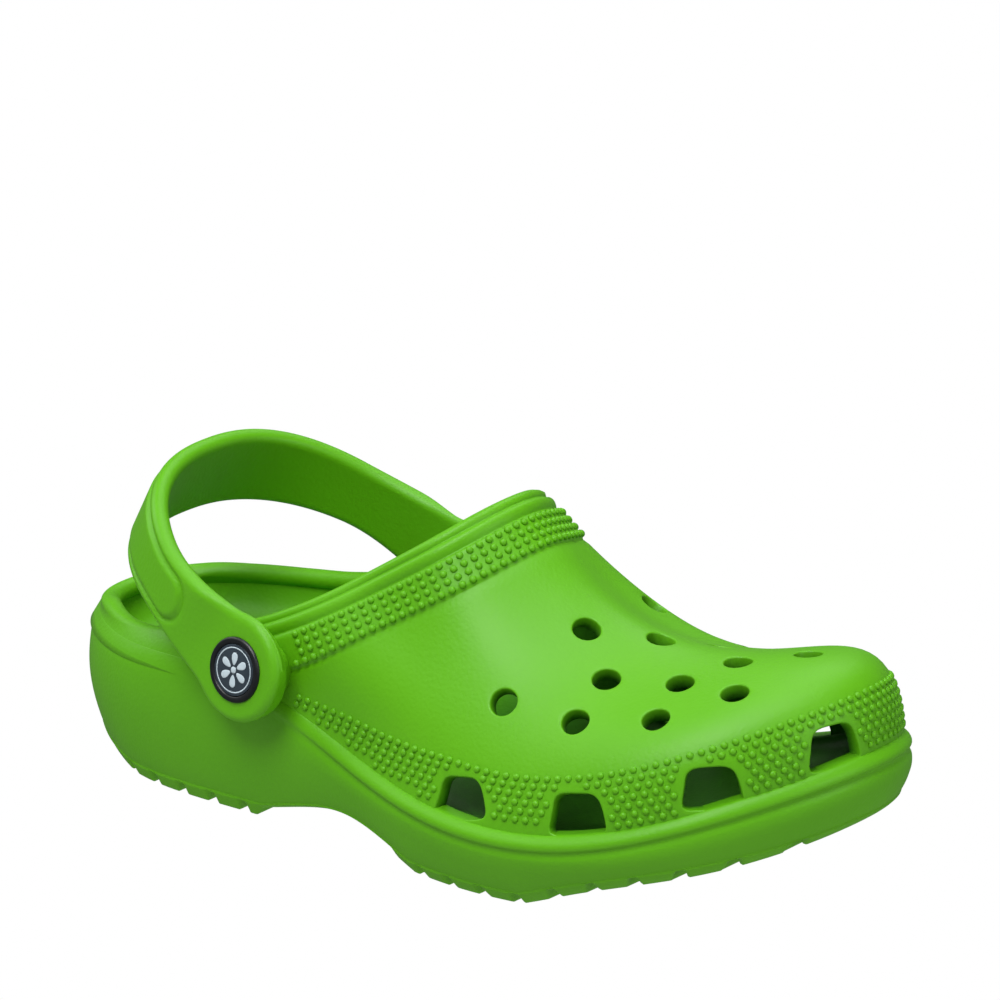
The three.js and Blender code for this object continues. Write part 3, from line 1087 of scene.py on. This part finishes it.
        # painted shade on the lining, lighter on its first two rings
        rings += [skin.add(ring, 0.3 if k < 2 else 1.0) for k, ring in enumerate(lining)]
        skin.rings(rings, flip=True)
        self.ladder(skin, rings[0], side[0], 0.0, flip=True)
        self.ladder(skin, rings[-1], lining[-1], 1.2, flip=False)
        return skin.build("foam_sole", place)


class Nubs:
    """The small domes of the collar and of the band above the ledge."""

    SIDES = 8
    PITCH = 3.2
    CLEAR_OF_PORT = 1.9

    def __init__(self, upper: Upper, ports: Sequence[Opening]) -> None:
        """Keep what the domes stand on.

        Args:
            upper: The surface.
            ports: The side vents that they keep clear of.
        """
        self.upper = upper
        self.ports = list(ports)

    def spaced(self, run: Along, low: float, high: float) -> Callable[[float], np.ndarray]:
        """Places along a line at even steps.

        Args:
            run: Distance up from the ledge at each s of the line.
            low: Where the line starts.
            high: Where it ends.

        Returns:
            A function that gives the places, shifted by a share of a step.
        """
        s = np.linspace(low, high, 1600)
        points = self.upper.shell(s, run(s), 0)
        way = np.concatenate([[0], np.cumsum(np.linalg.norm(np.diff(points, axis=0), axis=-1))])
        count = int(way[-1] / self.PITCH)
        return lambda shift: np.interp((np.arange(count) + shift) * way[-1] / count, way, s)

    def clear(self, s: np.ndarray, d: np.ndarray, points: np.ndarray) -> np.ndarray:
        """Which domes stand clear of the vents and the strap's ears.

        Args:
            s: Places round the shoe.
            d: Distances up from the ledge.
            points: The same places in space.

        Returns:
            True where a dome can stand.
        """
        good = np.hypot(points[:, 0] - RIVETS.x, points[:, 2] - RIVETS.z) > RIVETS.ear_radius - 1.0
        for port in self.ports:
            u, v = port.local(self.upper) @ np.stack([s - port.s, d - port.d])
            edge = port.reach(np.arctan2(v, u)) + self.CLEAR_OF_PORT
            good &= np.hypot(u, v) > edge
        return good

    def domes(self, skin: Skin, s: np.ndarray, d: np.ndarray, radius: float, height: float) -> None:
        """Add a dome at each place.

        Args:
            skin: Where they go.
            s: Places round the shoe.
            d: Distances up from the ledge.
            radius: Their radius.
            height: How far they stand out.
        """
        t = self.upper.t_at(s, d)
        points = self.upper.shell(s, d, 0)
        good = self.clear(s, d, points)
        points, t, s = points[good], t[good], s[good]
        normal, climb = self.upper.normal(s, t), self.upper.climb(s, t)
        side = np.cross(climb, normal)
        angle = np.arange(self.SIDES) * 2 * np.pi / self.SIDES
        rings = []
        for share, rise in ((1.0, -0.25), (0.82, 0.5), (0.45, 0.88)):
            ring = points[:, None] + normal[:, None] * (rise * height)
            ring = ring + side[:, None] * (radius * share * np.cos(angle))[None, :, None]
            rings.append(ring + climb[:, None] * (radius * share * np.sin(angle))[None, :, None])
        ids = [skin.add(ring) for ring in rings]
        tip = skin.add(points + normal * height)
        for low, high in ((ids[0], ids[1]), (ids[1], ids[2])):
            next_low, next_high = np.roll(low, -1, axis=1), np.roll(high, -1, axis=1)
            skin.faces.append(np.stack([low, next_low, next_high, high], -1).reshape(-1, 4))
        for k in range(0, self.SIDES, 2):
            a, b, c = (ids[2][:, (k + n) % self.SIDES] for n in range(3))
            skin.faces.append(np.stack([a, b, c, tip], -1))
        for k in range(1, self.SIDES - 1, 2):
            a, b, c = (ids[0][:, (k + n) % self.SIDES] for n in range(3))
            skin.faces.append(np.stack([c, b, a, ids[0][:, 0]], -1))

    def collar(self, place: Placing) -> bpy.types.Object:
        """The domes of the collar's band.

        Args:
            place: Puts them in the frame.

        Returns:
            The object.
        """
        skin = Skin()
        places = self.spaced(lambda s: self.upper.length(s) - 12.6, 0.185, 0.815)
        for row in range(4):
            s = places(0.25)
            self.domes(skin, s, self.upper.length(s) - 8.9 - 2.6 * row, 1.2, 0.95)
        return skin.build("collar_nubs", place, weld=False)

    @staticmethod
    def band(s: np.ndarray) -> np.ndarray:
        """How wide the side band is.

        Args:
            s: Places round the shoe.

        Returns:
            Widths up from the ledge.
        """
        from_heel = np.minimum(s, 1 - s)
        return np.interp(from_heel, [3 / 16, 4 / 16, 5 / 16, 0.5], [0.5, 10, 16, 17])

    def sides(self, place: Placing) -> bpy.types.Object:
        """The domes of the band above the ledge.

        Args:
            place: Puts them in the frame.

        Returns:
            The object.
        """
        skin = Skin()
        places = self.spaced(self.band, 0.2, 0.8)
        for row in range(7):
            s = places(0.5 * (row % 2))
            d = self.band(s) - 0.8 - 2.35 * row
            stands = d > 1.4
            self.domes(skin, s[stands], d[stands], 1.15, 0.78)
        return skin.build("side_nubs", place, weld=False)


class Turned:
    """Round shapes about a line."""

    def __init__(self, centre: np.ndarray, axis: np.ndarray, sides: int = 96) -> None:
        """Keep the line.

        Args:
            centre: A point of the line.
            axis: Its direction.
            sides: How many sides a ring has.
        """
        self.centre = np.asarray(centre, float)
        self.axis = unit(np.asarray(axis, float))
        self.across = unit(np.cross(self.axis, [0.0, 0.0, 1.0]))
        self.up = np.cross(self.across, self.axis)
        self.sides = sides

    def at(self, along: np.ndarray, out: np.ndarray, turn: np.ndarray) -> np.ndarray:
        """Points round the line.

        Args:
            along: Distances along it.
            out: Distances from it.
            turn: Angles round it.

        Returns:
            Points.
        """
        along, out, turn = (v[..., None] for v in np.broadcast_arrays(along, out, turn))
        level = self.across * np.cos(turn) + self.up * np.sin(turn)
        return self.centre + self.axis * along + level * out

    def lathe(self, skin: Skin, profile: Sequence[tuple[float, float]]) -> None:
        """Add a body whose profile is turned round the line, from its back to its front.

        Args:
            skin: Where it goes.
            profile: Pairs of distance from the line and distance along it.
        """
        turn = np.arange(self.sides) * 2 * np.pi / self.sides
        rings = [skin.add(self.at(np.array(along), np.array(out), turn)) for out, along in profile]
        skin.rings(rings, flip=False)

    def pad(self, skin: Skin, angle: float, middle: float, length: float, width: float, h: float) -> None:
        """Add a flat raised petal.

        Args:
            skin: Where it goes.
            angle: Its direction from the line.
            middle: How far out its middle is.
            length: Half its length, away from the line.
            width: Half its width.
            h: Distance along the line that it stands at.
        """
        turn = np.arange(40) * 2 * np.pi / 40
        rings = []
        profile = ((0.0, -0.2), (1.0, -0.2), (1.0, 0.02), (0.86, 0.09), (0.4, 0.13), (0.0, 0.14))
        for share, rise in profile:
            x = middle + length * share * np.cos(turn)
            y = width * share * np.sin(turn) * (1 + 0.35 * np.cos(turn))
            rings.append(skin.add(self.at(h + rise, np.hypot(x, y), angle + np.arctan2(y, x))))
        skin.rings(rings, flip=False)


def rounded(radius: float, back: float, front: float, edge: float, steps: int = 6) -> Profile:
    """Profile of a disc with a rounded front edge.

    Args:
        radius: Its radius.
        back: Where it starts along the line.
        front: Where it ends.
        edge: Radius of the front edge.
        steps: How finely the edge is made.

    Returns:
        Pairs of distance from the line and distance along it, closed at the back only.
    """
    turn = np.linspace(0, np.pi / 2, steps)
    curve = [(radius - edge + edge * math.cos(a), front - edge + edge * math.sin(a)) for a in turn]
    return [(0.0, back), (radius, back), *curve]


class Strap:
    """The mesh of the heel strap: two ears, a band and the long panel on its outside."""

    REACH = 66.7
    WIDTH, NECK = 26.0, 18.5
    THICKNESS = 5.3
    SQUARENESS = 2.35
    LIFT = math.radians(27.5)
    FLARE, FLARE_LENGTH = 8.0, 42.0
    EDGE = 2.5
    PANEL_START = 25.5
    PANEL_MARGIN = 4.0

    def __init__(self) -> None:
        """Walk along the middle line and find the stations."""
        self.half = RIVETS.ear_inside + self.THICKNESS / 2
        angle = np.linspace(0, np.pi, 4001)
        across = np.cos(angle)
        power = 2 / self.SQUARENESS
        x = -self.REACH * np.sin(angle) ** power
        y = -self.half * np.sign(across) * np.abs(across) ** power
        way = np.concatenate([[0], np.cumsum(np.hypot(np.diff(x), np.diff(y)))])
        self.total = way[-1]
        radius = RIVETS.ear_radius
        ear = -radius * np.cos(np.linspace(0, np.pi / 2, 30))
        band = np.linspace(0, self.total, 230)
        self.q = np.concatenate([ear[:-1], band, self.total - ear[-2::-1]])
        beyond = np.minimum(self.q, 0) + np.maximum(self.q - self.total, 0)
        self.x = np.interp(self.q, way, x) + np.abs(beyond)
        self.y = np.interp(self.q, way, y)
        self.from_pivot = np.minimum(self.q, self.total - self.q)
        way_x, way_y = np.gradient(self.x, self.q), np.gradient(self.y, self.q)
        size = np.hypot(way_x, way_y)
        self.out = np.stack([way_y, -way_x, 0 * way_x], -1) / size[:, None]
        self.out *= -1.0
        toward = np.sum(self.out * np.stack([self.x + 25, self.y, 0 * self.x], -1), axis=-1)
        self.out *= np.sign(toward)[:, None]

    def half_width(self) -> np.ndarray:
        """Half the strap's width at each station.

        Returns:
            Half-widths, none at the ears' ends.
        """
        to_back = 1 - np.abs(self.y / self.half) ** self.SQUARENESS
        radius, q = RIVETS.ear_radius, self.from_pivot
        flare = self.FLARE * (1 - smooth(q, 0, self.FLARE_LENGTH))
        band = (self.NECK + flare + (self.WIDTH - self.NECK) * to_back) / 2
        disc = np.sqrt(np.maximum(radius**2 - q**2, 0))
        band = band * np.where(q < 0, disc / radius, 1)
        return (disc**14 + band**14) ** (1 / 14)

    def faces(self, v: np.ndarray, wide: np.ndarray) -> tuple[np.ndarray, np.ndarray]:
        """How far out the outer and the inner face are from the middle line.

        Args:
            v: Distances across, by station and point.
            wide: Half the strap's width at each station.

        Returns:
            Two arrays.
        """
        q = self.from_pivot[:, None]
        slope = np.gradient(wide, self.q)
        slope = np.where(self.from_pivot < 3, 0, slope)[:, None]
        gap = (wide[:, None] - np.abs(v)) / np.sqrt(1 + slope**2)
        radius = RIVETS.ear_radius
        gap = np.where(q < 0, np.minimum(gap, radius * 1.003 - np.hypot(q, v)), gap)
        gap = np.clip(gap, 0, None)
        edge = self.EDGE
        fall = edge - np.sqrt(np.maximum(edge**2 - np.maximum(edge - gap, 0) ** 2, 0))
        along, up = self.x[:, None], v
        level_x = along * math.cos(self.LIFT) + up * math.sin(self.LIFT)
        level_z = -along * math.sin(self.LIFT) + up * math.cos(self.LIFT)
        lean_back, lean_up = math.radians(RIVETS.lean_back), math.radians(RIVETS.lean_up)
        plane = RIVETS.ear_face + math.tan(lean_back) * level_x - math.tan(lean_up) * level_z
        plane = plane - np.abs(self.y)[:, None]
        ear = smooth(q, 24, 9)
        outer = self.THICKNESS / 2 * (1 - ear) + plane * ear
        start = self.PANEL_START
        panel = wide[:, None] - self.PANEL_MARGIN
        round_end = panel - np.hypot(np.minimum(q - start - panel, 0), v)
        inside = np.where(q < start + panel, round_end, panel - np.abs(v))
        outer = outer + 0.5 * smooth(inside, -0.2, 0.9) - 0.75 * hump(inside, -0.6, 1.1)
        fall = fall * np.clip((outer + self.THICKNESS / 2 - 0.3) / (2 * edge), 0.1, 1)
        return outer - fall, -self.THICKNESS / 2 + fall

    def build(self, place: Placing) -> bpy.types.Object:
        """Make the mesh.

        Args:
            place: Puts it in the frame.

        Returns:
            The object.
        """
        wide = self.half_width()
        share = np.sin(np.linspace(-np.pi / 2, np.pi / 2, 41))
        v = wide[:, None] * share[None, :]
        outer, inner = self.faces(v, wide)
        middle = np.stack([self.x, self.y, 0 * self.x], -1)[:, None]
        out = self.out[:, None]

        def lifted(points: np.ndarray) -> np.ndarray:
            """Turn the strap up about the rivets' line and put it there."""
            x, z = points[..., 0].copy(), points[..., 2].copy()
            points[..., 0] = x * math.cos(self.LIFT) + z * math.sin(self.LIFT) + RIVETS.x
            points[..., 2] = -x * math.sin(self.LIFT) + z * math.cos(self.LIFT) + RIVETS.z
            return points

        up = np.array([0.0, 0.0, 1.0])
        outside = lifted(middle + out * outer[..., None] + up * v[..., None])
        inside = lifted(middle + out * inner[..., None] + up * v[..., None])
        skin = Skin()
        ids = skin.add(np.concatenate([outside, inside[:, ::-1]], axis=1))
        skin.sheet(np.concatenate([ids, ids[:, :1]], axis=1), flip=True)
        return skin.build("foam_strap", place)


def flatten(skin: Skin, share: float) -> None:
    """Lower what stands above the rivets' line, so that the collar hides it.

    Args:
        skin: The mesh.
        share: How much of the height above the line stays.
    """
    for points in skin.points:
        over = points[:, 2] - RIVETS.z
        points[:, 2] = RIVETS.z + np.where(over > 0, share * over, over)


def bosses(place: Placing) -> bpy.types.Object:
    """The round pads that the strap's ears turn on.

    Args:
        place: Puts them in the frame.

    Returns:
        The object.
    """
    skin = Skin()
    for side in (-1, 1):
        line = Turned([RIVETS.x, 0, RIVETS.z], [0, side, 0], 72)
        r, edge, front = RIVETS.pad_radius, 0.8, RIVETS.pad_face
        back = RIVETS.seat
        arc = [math.radians(a) for a in range(0, 91, 18)]
        profile = [(RIVETS.tube_radius, back), (r - edge, back), (r, back + edge)]
        profile += [(r - edge + edge * math.cos(a), front - edge + edge * math.sin(a)) for a in arc]
        profile += [(RIVETS.tube_radius, front), (RIVETS.tube_radius, back)]
        line.lathe(skin, profile)
    flatten(skin, 0.66)
    return skin.build("rivet_bosses", place)


class RivetSide(Enum):
    """The two sides that have a rivet, and the way each looks."""

    OUTER = ("outer", -1)
    INNER = ("inner", 1)

    @property
    def word(self) -> str:
        """The side's name in the part."""
        return self.value[0]

    @property
    def sign(self) -> int:
        """The sign of y on this side."""
        return self.value[1]


@dataclass
class Rivet:
    """One snap rivet: its cap and stem, its badge with a plain flower, and its socket."""

    side: RivetSide
    place: Placing
    made: dict[str, bpy.types.Object] = field(default_factory=dict)

    def line(self) -> Turned:
        """The line through the middle of the cap, starting on the ear's face."""
        face = [RIVETS.x, self.side.sign * RIVETS.ear_face, RIVETS.z]
        return Turned(face, RIVETS.facing(self.side.sign))

    def build(self) -> None:
        """Make the pieces."""
        line, word, sign = self.line(), self.side.word, self.side.sign
        front = RIVETS.cap_thickness - RIVETS.cap_sunk
        well = RIVETS.badge_radius + 0.25
        cap = Skin()
        profile = rounded(RIVETS.cap_radius, -RIVETS.cap_sunk, front, 0.75)
        profile += [(well + 0.2, front), (well, front - 0.15), (well, front - 0.6), (0.0, front - 0.6)]
        line.lathe(cap, profile)
        stem = Turned([RIVETS.x, 0, RIVETS.z], [0, sign, 0], 48)
        reach = RIVETS.ear_face - RIVETS.cap_sunk + 0.6
        stem.lathe(cap, [(0, 39.8), (2.9, 39.8), (3.2, 40.1), (3.2, reach), (0, reach)])
        self.made["stud"] = cap.build(f"{word}_rivet_cap", self.place)
        disc = Skin()
        r = RIVETS.badge_radius
        edge = rounded(r, front - 0.6, front - 0.22, 0.12, 4)
        line.lathe(disc, [*edge, (r * 0.5, front - 0.16), (0, front - 0.15)])
        self.made["badge"] = disc.build(f"{word}_rivet_disc", self.place)
        motif = Skin()
        ring = [(6.15, front - 0.3), (6.5, front - 0.3), (6.5, front - 0.17), (6.4, front - 0.13)]
        line.lathe(motif, [*ring, (6.25, front - 0.13), (6.15, front - 0.17), (6.15, front - 0.3)])
        for petal in range(6):
            line.pad(motif, math.pi / 6 + petal * math.pi / 3, 3.15, 1.85, 1.05, front - 0.2)
        root = front - 0.3
        heart = [(0, root), (0.95, root), (0.95, front - 0.12), (0.6, front - 0.03), (0, front)]
        line.lathe(motif, heart)
        self.made["motif"] = motif.build(f"{word}_rivet_flower", self.place)
        socket = Skin()
        back = RIVETS.seat - 0.3
        stem.lathe(
            socket,
            [(3.5, back - 2), (8.9, back - 2), (9.5, back - 1.5), (9.5, back), (5, back), (5, back + 7.3),
             (3.5, back + 7.3), (3.5, back - 2)],
        )  # fmt: skip
        flatten(socket, 0.62)
        self.made["socket"] = socket.build(f"{word}_rivet_ring", self.place)


# ---- Materials -----------------------------------------------------------------------------------
class Socket:
    """An output of a shader node, with arithmetic."""

    def __init__(self, tree: "Tree", output: bpy.types.NodeSocket) -> None:
        """Keep the socket.

        Args:
            tree: The tree it is in.
            output: The socket.
        """
        self.tree = tree
        self.output = output

    def _math(self, operation: str, *others: "Socket | float") -> "Socket":
        """One sum of this socket and others."""
        return self.tree.node("ShaderNodeMath", [self, *others], operation=operation)

    def __add__(self, other: "Socket | float") -> "Socket":
        """Sum."""
        return self._math("ADD", other)

    def __sub__(self, other: "Socket | float") -> "Socket":
        """Difference."""
        return self._math("SUBTRACT", other)

    def __mul__(self, other: "Socket | float") -> "Socket":
        """Product."""
        return self._math("MULTIPLY", other)

    def __rsub__(self, other: float) -> "Socket":
        """Difference from a number."""
        return self.tree.node("ShaderNodeMath", [other, self], operation="SUBTRACT")

    __radd__ = __add__
    __rmul__ = __mul__

    def clamped(self) -> "Socket":
        """The value, kept from 0 to 1."""
        return self._math("MAXIMUM", 0.0)._math("MINIMUM", 1.0)


class Tree:
    """The node tree of a material, and short ways to fill it."""

    def __init__(self, name: str) -> None:
        """Make the material.

        Args:
            name: Its name.
        """
        self.material = bpy.data.materials.new(name)
        self.material.use_nodes = True
        self.nodes = self.material.node_tree.nodes
        self.links = self.material.node_tree.links
        self.surface = self.nodes["Principled BSDF"]
        self.where = Socket(self, self.nodes.new("ShaderNodeTexCoord").outputs["Object"])

    def node(self, kind: str, inputs: Sequence[object], output: int = 0, **facts: object) -> Socket:
        """Make one node.

        Args:
            kind: The node's type.
            inputs: What goes into its sockets, in order; None leaves one alone.
            output: Which output to give back.
            **facts: Its settings.

        Returns:
            The output.
        """
        made = self.nodes.new(kind)
        for key, value in facts.items():
            setattr(made, key, value)
        for socket, value in zip(made.inputs, inputs):
            if isinstance(value, Socket):
                self.links.new(value.output, socket)
            elif value is not None:
                socket.default_value = value
        return Socket(self, made.outputs[output])

    def noise(self, scale: float, detail: float = 2.0, rough: float = 0.5) -> Socket:
        """Noise from 0 to 1 with a middle of one half.

        Args:
            scale: How many features a metre has.
            detail: How many finer layers it has.
            rough: How strong the finer layers are.

        Returns:
            The value.
        """
        found = self.nodes.new("ShaderNodeTexNoise")
        self.links.new(self.where.output, found.inputs["Vector"])
        found.inputs["Scale"].default_value = scale
        found.inputs["Detail"].default_value = detail
        found.inputs["Roughness"].default_value = rough
        return Socket(self, found.outputs["Fac"])

    def cells(self, scale: float) -> Socket:
        """Distance from the middle of rounded cells.

        Args:
            scale: How many cells a metre has.

        Returns:
            The distance, in cells.
        """
        found = self.nodes.new("ShaderNodeTexVoronoi")
        found.feature = "SMOOTH_F1"
        self.links.new(self.where.output, found.inputs["Vector"])
        found.inputs["Scale"].default_value = scale
        return Socket(self, found.outputs["Distance"])

    def blend(self, share: Socket, low: "Socket | tuple", high: tuple[float, ...]) -> Socket:
        """Colour between two.

        Args:
            share: 0 for the first colour and 1 for the second.
            low: The first colour.
            high: The second.

        Returns:
            The colour.
        """
        inputs = [share, *[None] * 5, low, high]
        return self.node("ShaderNodeMix", inputs, output=2, data_type="RGBA")

    def attribute(self, name: str) -> Socket:
        """A value that the mesh's vertices carry.

        Args:
            name: The attribute's name.

        Returns:
            The value.
        """
        found = self.nodes.new("ShaderNodeAttribute")
        found.attribute_name = name
        return Socket(self, found.outputs["Fac"])

    def bump(self, height: Socket, strength: float, distance: float) -> None:
        """Let a height shape the surface's shading.

        Args:
            height: The height.
            strength: How strong it shows.
            distance: How high it is, in metres.
        """
        made = self.nodes.new("ShaderNodeBump")
        made.inputs["Strength"].default_value = strength
        made.inputs["Distance"].default_value = distance
        self.links.new(height.output, made.inputs["Height"])
        self.links.new(made.outputs["Normal"], self.surface.inputs["Normal"])

    def link(self, socket: str, value: Socket) -> None:
        """Join a value to a socket of the surface.

        Args:
            socket: The socket's name.
            value: The value.
        """
        self.links.new(value.output, self.surface.inputs[socket])

    def set(self, **values: object) -> None:
        """Set sockets of the surface, with underscores for spaces.

        Args:
            **values: Socket names and values.
        """
        for key, value in values.items():
            self.surface.inputs[key.replace("_", " ")].default_value = value


def shade(red: int, green: int, blue: int) -> tuple[float, float, float, float]:
    """Scene colour of a screen colour.

    Args:
        red: From 0 to 255.
        green: From 0 to 255.
        blue: From 0 to 255.

    Returns:
        The colour with full alpha.
    """
    parts = (v / 255 for v in (red, green, blue))
    r, g, b = (v / 12.92 if v <= 0.04045 else ((v + 0.055) / 1.055) ** 2.4 for v in parts)
    return (r, g, b, 1.0)


@dataclass(frozen=True)
class FoamFinish:
    """Closed-cell foam with a satin skin and a fine grain, and painted shade deep inside the shoe's front."""

    name: str
    deep: tuple[int, int, int]
    bright: tuple[int, int, int]
    hollow: tuple[int, int, int] = (10, 78, 20)
    shelter: float = 0.65  # share of the hollow colour deep inside the shoe
    roughness: float = 0.45
    grain: float = 0.24

    def make(self) -> bpy.types.Material:
        """Make the material.

        Returns:
            The material.
        """
        tree = Tree(self.name)
        patches = tree.noise(28, 3)
        fine = tree.noise(900, 4, 0.6)
        pores = tree.cells(950)
        share = (0.7 * patches + 0.3 * fine).clamped()
        colour = tree.blend(share, shade(*self.deep), shade(*self.bright))
        # painted shade: the base colour is blended towards the dark green by the painted-shade mask
        deep = self.shelter * tree.attribute("shelter")
        tree.link("Base Color", tree.blend(deep, colour, shade(*self.hollow)))
        tree.link("Roughness", self.roughness + 0.12 * (patches - 0.5) + 0.08 * (fine - 0.5))
        tree.bump(0.6 * pores + 0.4 * fine, self.grain, 0.0004)
        tree.set(Specular_IOR_Level=0.24)
        return tree.material


@dataclass(frozen=True)
class PlasticFinish:
    """Moulded plastic or print, with faint moulding marks."""

    name: str
    colour: tuple[int, int, int]
    other: tuple[int, int, int]
    roughness: float

    def make(self) -> bpy.types.Material:
        """Make the material.

        Returns:
            The material.
        """
        tree = Tree(self.name)
        marks = tree.noise(420, 3)
        tree.link("Base Color", tree.blend(marks, shade(*self.colour), shade(*self.other)))
        tree.link("Roughness", self.roughness + 0.1 * (marks - 0.5))
        tree.bump(marks, 0.03, 0.0002)
        return tree.material


@dataclass(frozen=True)
class GlowFinish:
    """A surface that shines evenly, for the ground."""

    name: str
    strength: float

    def make(self) -> bpy.types.Material:
        """Make the material.

        Returns:
            The material.
        """
        tree = Tree(self.name)
        tree.set(
            Base_Color=(0, 0, 0, 1), Roughness=1.0, Specular_IOR_Level=0.0,
            Emission_Color=(1, 1, 1, 1), Emission_Strength=self.strength,
        )  # fmt: skip
        return tree.material


def dress(thing: bpy.types.Object, material: bpy.types.Material) -> None:
    """Give an object one material.

    Args:
        thing: The object.
        material: The material.
    """
    thing.data.materials.clear()
    thing.data.materials.append(material)


# ---- Light and camera ----------------------------------------------------------------------------
@dataclass(frozen=True)
class Lamp:
    """A large soft light that looks at the middle of the shoe."""

    name: str
    azimuth: float
    elevation: float
    distance: float
    size: float
    watts: float

    def make(self, target: Vector) -> None:
        """Put the lamp up.

        Args:
            target: What it looks at.
        """
        data = bpy.data.lights.new(self.name, "AREA")
        data.shape = "DISK"
        data.size = self.size
        data.energy = self.watts
        lamp = bpy.data.objects.new(self.name, data)
        bpy.context.scene.collection.objects.link(lamp)
        back = away(self.azimuth, self.elevation)
        lamp.location = target + back * self.distance
        lamp.rotation_mode = "QUATERNION"
        lamp.rotation_quaternion = back.to_track_quat("Z", "Y")
        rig.stage(lamp)


LAMPS = (
    Lamp("overhead", 60, 84, 1.4, 1.2, 15.0),
    Lamp("back_high", 200, 50, 1.6, 1.0, 6.0),
    Lamp("key", 5, 56, 1.6, 0.9, 22.0),
    Lamp("heel_fill", -80, 35, 1.6, 0.9, 8.0),
    Lamp("toe_fill", 92, 22, 1.6, 0.9, 7.0),
)


def away(azimuth: float, elevation: float) -> Vector:
    """Direction from the shoe to something round it.

    Args:
        azimuth: Degrees; 0 is on the outer side and 90 in front of the toe.
        elevation: Degrees above the horizon.

    Returns:
        A unit vector.
    """
    a, e = math.radians(azimuth), math.radians(elevation)
    return Vector((math.sin(a) * math.cos(e), -math.cos(a) * math.cos(e), math.sin(e)))


CAMERA_AIM = Vector((0.0057, 0.0044, 0.0921))
CAMERA_AZIMUTH, CAMERA_ELEVATION = 37.6, 18.5
CAMERA_DISTANCE, CAMERA_LENS = 1.9287, 250.17
LAMP_AIM = Vector((0, 0, 0.04))
SKY_STRENGTH = 0.14
GROUND_DROP = 0.0004  # keeps the ground clear of the lugs' feet


def make_camera() -> None:
    """Make the camera: a long lens, a little above the shoe and towards its toe."""
    data = bpy.data.cameras.new("camera")
    data.lens, data.sensor_width = CAMERA_LENS, 36.0
    data.clip_start, data.clip_end = 0.1, 20.0
    camera = bpy.data.objects.new("camera", data)
    bpy.context.scene.collection.objects.link(camera)
    back = away(CAMERA_AZIMUTH, CAMERA_ELEVATION)
    camera.location = CAMERA_AIM + back * CAMERA_DISTANCE
    camera.rotation_mode = "QUATERNION"
    camera.rotation_quaternion = back.to_track_quat("Z", "Y")
    bpy.context.scene.camera = camera


def make_surroundings() -> None:
    """Make the ground and the sky's light."""
    bpy.ops.mesh.primitive_plane_add(size=16, location=(0, 0, -GROUND_DROP))
    ground = bpy.context.object
    ground.name = "ground"
    dress(ground, GlowFinish("ground_glow", 1.0).make())
    ground.visible_glossy = False
    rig.stage(ground)
    world = bpy.data.worlds.new("sky")
    bpy.context.scene.world = world
    world.use_nodes = True
    sky = world.node_tree.nodes["Background"]
    sky.inputs["Color"].default_value = (1, 1, 1, 1)
    sky.inputs["Strength"].default_value = SKY_STRENGTH
    bpy.context.scene.view_settings.view_transform = "Standard"


def save_size(when: str) -> None:
    """Args:
        when: The name of this box in the file.
    """
    try:
        with open("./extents.json") as file:
            sizes = json.load(file)
    except (OSError, ValueError):
        sizes = {}
    low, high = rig.bounds()
    sizes[when] = [list(low), list(high)]
    with open("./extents.json", "w") as file:
        json.dump(sizes, file)


def main() -> None:
    """Build the whole scene."""
    logging.basicConfig(level=logging.INFO, format="%(message)s")
    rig.load()
    save_size("frame")
    low, _ = (np.array(v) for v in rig.box("clog_body"))
    strap_low, strap_high = (np.array(v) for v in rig.box("heel_strap"))
    shift = np.array([low[0], (strap_low[1] + strap_high[1]) / 2, 0.0]) / MM
    place = Placing(shift)
    sole = Sole(LAST)
    upper = Upper(LAST, sole)

    foam = FoamFinish("foam_skin", (75, 146, 5), (85, 156, 9)).make()
    black = PlasticFinish("rivet_black", (9, 12, 14), (16, 20, 22), 0.42).make()
    slate = PlasticFinish("badge_slate", (34, 44, 52), (46, 57, 66), 0.38).make()
    silver = PlasticFinish("badge_grey", (160, 176, 184), (184, 198, 204), 0.4).make()
    matt = PlasticFinish("socket_matt", (20, 24, 24), (30, 34, 34), 0.55).make()

    sheet = UpperSheet(upper)
    shell = sheet.build(place)
    nubs = Nubs(upper, [o for o in sheet.openings() if o.reach is side_port])
    on_clog = [SoleBlock(sole).build(place), nubs.collar(place), nubs.sides(place), bosses(place)]
    for piece in (shell, *on_clog):
        dress(piece, foam)
        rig.ride(piece, "clog")
        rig.slot(piece, "foam")
    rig.replaces(shell, "clog_body")
    band = Strap().build(place)
    dress(band, foam)
    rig.ride(band, "strap")
    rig.slot(band, "foam")
    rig.replaces(band, "heel_strap")
    finishes = {
        "stud": (black, "rivet_plastic"), "badge": (slate, "badge"), "motif": (silver, "badge"),
        "socket": (matt, "socket_plastic"),
    }  # fmt: skip
    for side in RivetSide:
        rivet = Rivet(side, place)
        rivet.build()
        for kind, (material, slot) in finishes.items():
            piece = rivet.made[kind]
            dress(piece, material)
            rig.ride(piece, "strap")
            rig.slot(piece, slot)
            if kind != "motif":
                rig.replaces(piece, f"{side.word}_rivet_{kind}")

    make_surroundings()
    make_camera()
    for lamp in LAMPS:
        lamp.make(LAMP_AIM)
    save_size("model")


if __name__ == "__main__":
    main()
